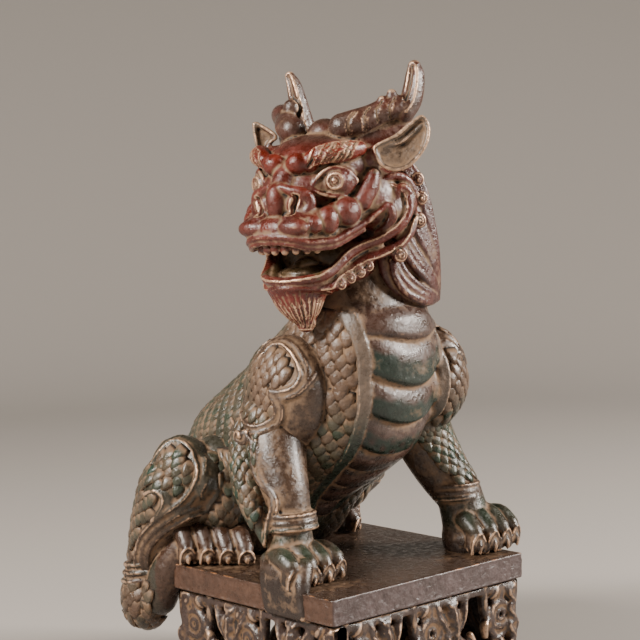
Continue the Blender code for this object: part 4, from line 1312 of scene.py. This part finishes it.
head_wax.ball((-16.4, -6.4, 20.4), (4.6, 4.6, 4.4))
head_wax.ball((-16.5, -3.6, 26.4), (3.3, 3.3, 3.4))
for prong, sign in ((NEAR_PRONG, 1), (FAR_PRONG, -1)):
    edge = [(x + 0.62 * r, y - 0.62 * r, z) for x, y, z, r in prong]
    strokes.append((edge, 0.9, 0.6))
    strokes.append(([(x + 0.1 * r, y - 0.95 * r, z) for x, y, z, r in prong[1:]], 1.3, -0.9))
for k in range(4):
    x, y, z, r = HORN_BEAM[k + 1]
    strokes.append(([(x - 1, y - r * 0.8, z - r * 0.7), (x, y - r, z), (x + 1.5, y - r * 0.6, z + r * 0.8)],
        0.8, -0.5))
for k in range(9):
    angle = radians(-72 + 144 * k / 8)
    head_wax.ball((12.4 * sin(angle), -26.3 - 12.8 * cos(angle), -24.0), (1.7, 1.7, 2.4))
head_wax.bar([(0, -25.4, -39.2, 2.0), (0, -25.6, -39.6, 11.4), (0.2, -26, -42.0, 10.0),
    (1.2, -26.4, -45.5, 8.0), (2.0, -26.4, -48.6, 5.8), (2.4, -26.2, -50.6, 3.8)], 6)
for k in range(30):
    angle = radians(-130 + 260 * k / 29 + (4, -3, 2)[k % 3])
    s, c = sin(angle), cos(angle)
    start = (-39.5, -42.5, -41.0)[k % 3]
    hair = [(11.3 * s, -25.4 - 11.3 * c, start), (9.0 * s + 0.8, -26.2 - 8.8 * c, -43.8),
        (6.4 * s + 1.6, -26.4 - 6.2 * c, -48.0), (3.2 * s + 2.2, -26.3 - 3.0 * c, -53.0)]
    strokes.append((hair, 0.45, (-0.3, -0.6, -0.4)[k % 3]))
head = gathered("qilin_head", [head_wax])
fuse(head, HEAD_VOXEL, 2, 0.64)
chased(head, HEAD_PLACE, strokes)
local = carried(skin_points(head), HEAD_PLACE.inverted())
x, y, z = local.T
colours = np.tile(linear("56231a"), (len(local), 1))
colours = paint(colours, 0.45 + 0.7 * wander(local, 16, 2), "6c2c20")
dull = np.clip((z - 11.5) / 3, 0, 1)
colours = paint(colours, 0.9 * dull * np.clip(0.85 + 0.4 * wander(local, 18, 5), 0, 1), "4a372d")
in_ear = (np.abs(x) > 25.5) & (y < 6) & (z > 1) & (z < 23) & (y < 0.95 * np.abs(x) - 33)
colours = paint(colours, 0.9 * in_ear, "5c4f42")
on_brow = np.zeros(len(local))
for sign in (-1, 1):
    for p in smooth_path(mirrored(BROW, sign), 3):
        on_brow = np.maximum(on_brow, np.clip(2.2 - np.linalg.norm(local - p[:3], axis=1) / (p[3] * 0.75), 0,
            1))
    gap = np.linalg.norm(local - (sign * 5.2, -31, 5.6), axis=1)
    on_brow = np.maximum(on_brow, 0.6 * np.clip(2.2 - gap / 3.2, 0, 1))
colours = paint(colours, 0.85 * on_brow * (z > 2), "7a2410")
in_mouth = (z < -22) & (z > -35.5) & (np.abs(x) < 13) & (y > -32) & (y < -8)
colours = paint(colours, 0.85 * in_mouth, "51452c")
colours = paint(colours, np.clip((-38.2 - z) / 1.5, 0, 1) * (y < -14), "641a0e")
keep_colour(head, "coat", colours)
keep_relief(head, (4, 0.16), (24, 0.62), 0.40 - 0.16 * (z < -37.5))
head.data.materials.append(lacquered_bronze)
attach(head, "root")
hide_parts("qilin_on_slab")

# The mane
# Long grooved locks sweep back and down from the cheeks and down the back of the head, and end in points
# over the shoulders. They are cast with the head and lacquered the same red.

MANE_VOXEL = 0.62
TOP_LOCK = [(25.5, 8.0, 6.5), (28.4, 11.4, -0.9), (30.0, 13.2, -8), (30.6, 15.2, -17), (30.6, 17.8, -28),
    (28.6, 22.0, -40.5)]
LOW_LOCK = [(24.6, -3.2, -30.4), (25.6, -2.4, -36.6), (27.2, 0.8, -41.8), (28.8, 6.8, -45.2),
    (29.2, 14.0, -46.8), (27.6, 22.6, -46.6)]
MANE_GROUPS = [(0.0, 0.07, 0.14), (0.27, 0.345, 0.42), (0.55, 0.625, 0.70), (0.84, 0.92, 1.0)]
BACK_LOCKS = 9

mane_wax = Wax(HEAD_PLACE)
mane_wax.ball((0, 13, -14), (25.8, 20.5, 27))
for sign in (-1, 1):
    for group in MANE_GROUPS:
        middle = np.mean(group)
        for t in group:
            lock = np.array(TOP_LOCK) * (1 - t) + np.array(LOW_LOCK) * t
            lock[-1] += 0.5 * (np.array(TOP_LOCK[-1]) * (1 - middle) + np.array(LOW_LOCK[-1]) * middle
                - lock[-1])
            radii = np.array([1.1, 1.35, 1.4, 1.4, 1.35, 0.8])[:, None]
            mane_wax.bar(np.hstack([lock * (sign, 1, 1), radii]), 5)
    for t in np.linspace(0.02, 0.98, 12):
        lock = np.array(TOP_LOCK) * (1 - t) + np.array(LOW_LOCK) * t - (4.0, -0.5, 0)
        mane_wax.bar(np.hstack([lock * (sign, 1, 1), np.full((6, 1), 2.4)]), 4)
for k in range(BACK_LOCKS):
    for aside in (-0.3, 0, 0.3):
        angle = radians(-62 + 124 * (k + 0.5 + aside) / BACK_LOCKS)
        s, c = sin(angle), cos(angle)
        back = radians(-62 + 124 * (k + 0.5) / BACK_LOCKS)
        thick = 1.0 if aside else 1.15
        mane_wax.bar(
            [
                (s * 14, 6 + c * 9, 15.0, 1.2 * thick),
                (s * 22, 8 + c * 20.3, -1, 1.35 * thick),
                (s * 25, 8 + c * 24.4, -22, 1.4 * thick),
                (s * 24, 9 + c * 25.2, -38, 1.35 * thick),
                (sin(back) * 21, 10 + cos(back) * 25, -49.5, 1.0),
            ],
            5,
        )
mane = gathered("qilin_mane", [mane_wax])
fuse(mane, MANE_VOXEL, 1, 0.75)
local = carried(skin_points(mane), HEAD_PLACE.inverted())
colours = np.tile(linear("451c16"), (len(local), 1))
colours = paint(colours, 0.45 + 0.7 * wander(local, 14, 7), "5a2820")
keep_colour(mane, "coat", colours)
keep_relief(mane, (3, 0.16), (24, 0.8))
mane.data.materials.append(lacquered_bronze)
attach(mane, "root")
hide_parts("qilin_on_slab")

# The floor, lights and camera
# A plain pale floor that curves up behind, two large soft lights, and the photograph's viewing angle.

bpy.ops.object.select_all(action="DESELECT")
bpy.ops.mesh.primitive_grid_add(x_subdivisions=100, y_subdivisions=100, size=5, location=(0, 0, 0))
floor = bpy.context.object
floor.name = "floor"
points = skin_points(floor)
away = np.linalg.norm(points[:, :2], axis=1)
points[:, 2] = 1.3 * np.clip(away - 0.85, 0, None) ** 2
floor.data.vertices.foreach_set("co", points.ravel())
bpy.ops.object.shade_smooth()
pale = bpy.data.materials.new("matt pale paper")
pale.use_nodes = True
pale.node_tree.nodes["Principled BSDF"].inputs["Base Color"].default_value = (*linear("a39d97"), 1)
pale.node_tree.nodes["Principled BSDF"].inputs["Roughness"].default_value = 0.9
floor.data.materials.append(pale)

world = bpy.data.worlds.new("studio")
bpy.context.scene.world = world
world.use_nodes = True
world.node_tree.nodes["Background"].inputs["Color"].default_value = (*linear("b9b4ae"), 1)
world.node_tree.nodes["Background"].inputs["Strength"].default_value = 0.08

AZIMUTH, ELEVATION, ROLL = [radians(a) for a in (-42.9, 5.2, 1.41)]
LENS = 101.25
# From the middle of the slab's top, in metres to the camera's right, up and back
CAMERA_OFFSET = (-0.0106, 0.0895, 0.681)
back = Vector((sin(AZIMUTH) * cos(ELEVATION), -cos(AZIMUTH) * cos(ELEVATION), sin(ELEVATION)))
right = Vector((cos(AZIMUTH), sin(AZIMUTH), 0))
up = back.cross(right)
turned = Matrix((right * cos(ROLL) - up * sin(ROLL), right * sin(ROLL) + up * cos(ROLL), back))
camera = bpy.data.objects.new("camera", bpy.data.cameras.new("camera"))
camera.data.sensor_width = 36
camera.data.lens = LENS
where = turned.transposed() @ Vector(CAMERA_OFFSET) + Vector((0, 0, SLAB_TOP * MM))
camera.matrix_world = Matrix.Translation(where) @ turned.transposed().to_4x4()
bpy.context.collection.objects.link(camera)
bpy.context.scene.camera = camera


def softbox(name, aside, above, toward, size, power):
    """A square light placed from the figure along the camera's right, up and back directions."""
    lamp = bpy.data.objects.new(name, bpy.data.lights.new(name, "AREA"))
    lamp.data.size = size
    lamp.data.energy = power
    lamp.data.color = (1.0, 0.94, 0.87)
    target = Vector((0, 0, 0.15))
    place = target + right * aside + Vector((0, 0, above)) + back * toward
    lamp.location = place
    lamp.rotation_euler = (place - target).to_track_quat("Z", "Y").to_euler()
    bpy.context.collection.objects.link(lamp)


softbox("left light", -0.75, 0.55, 0.55, 0.26, 27)
softbox("right light", 0.98, 0.38, 0.06, 0.26, 25)
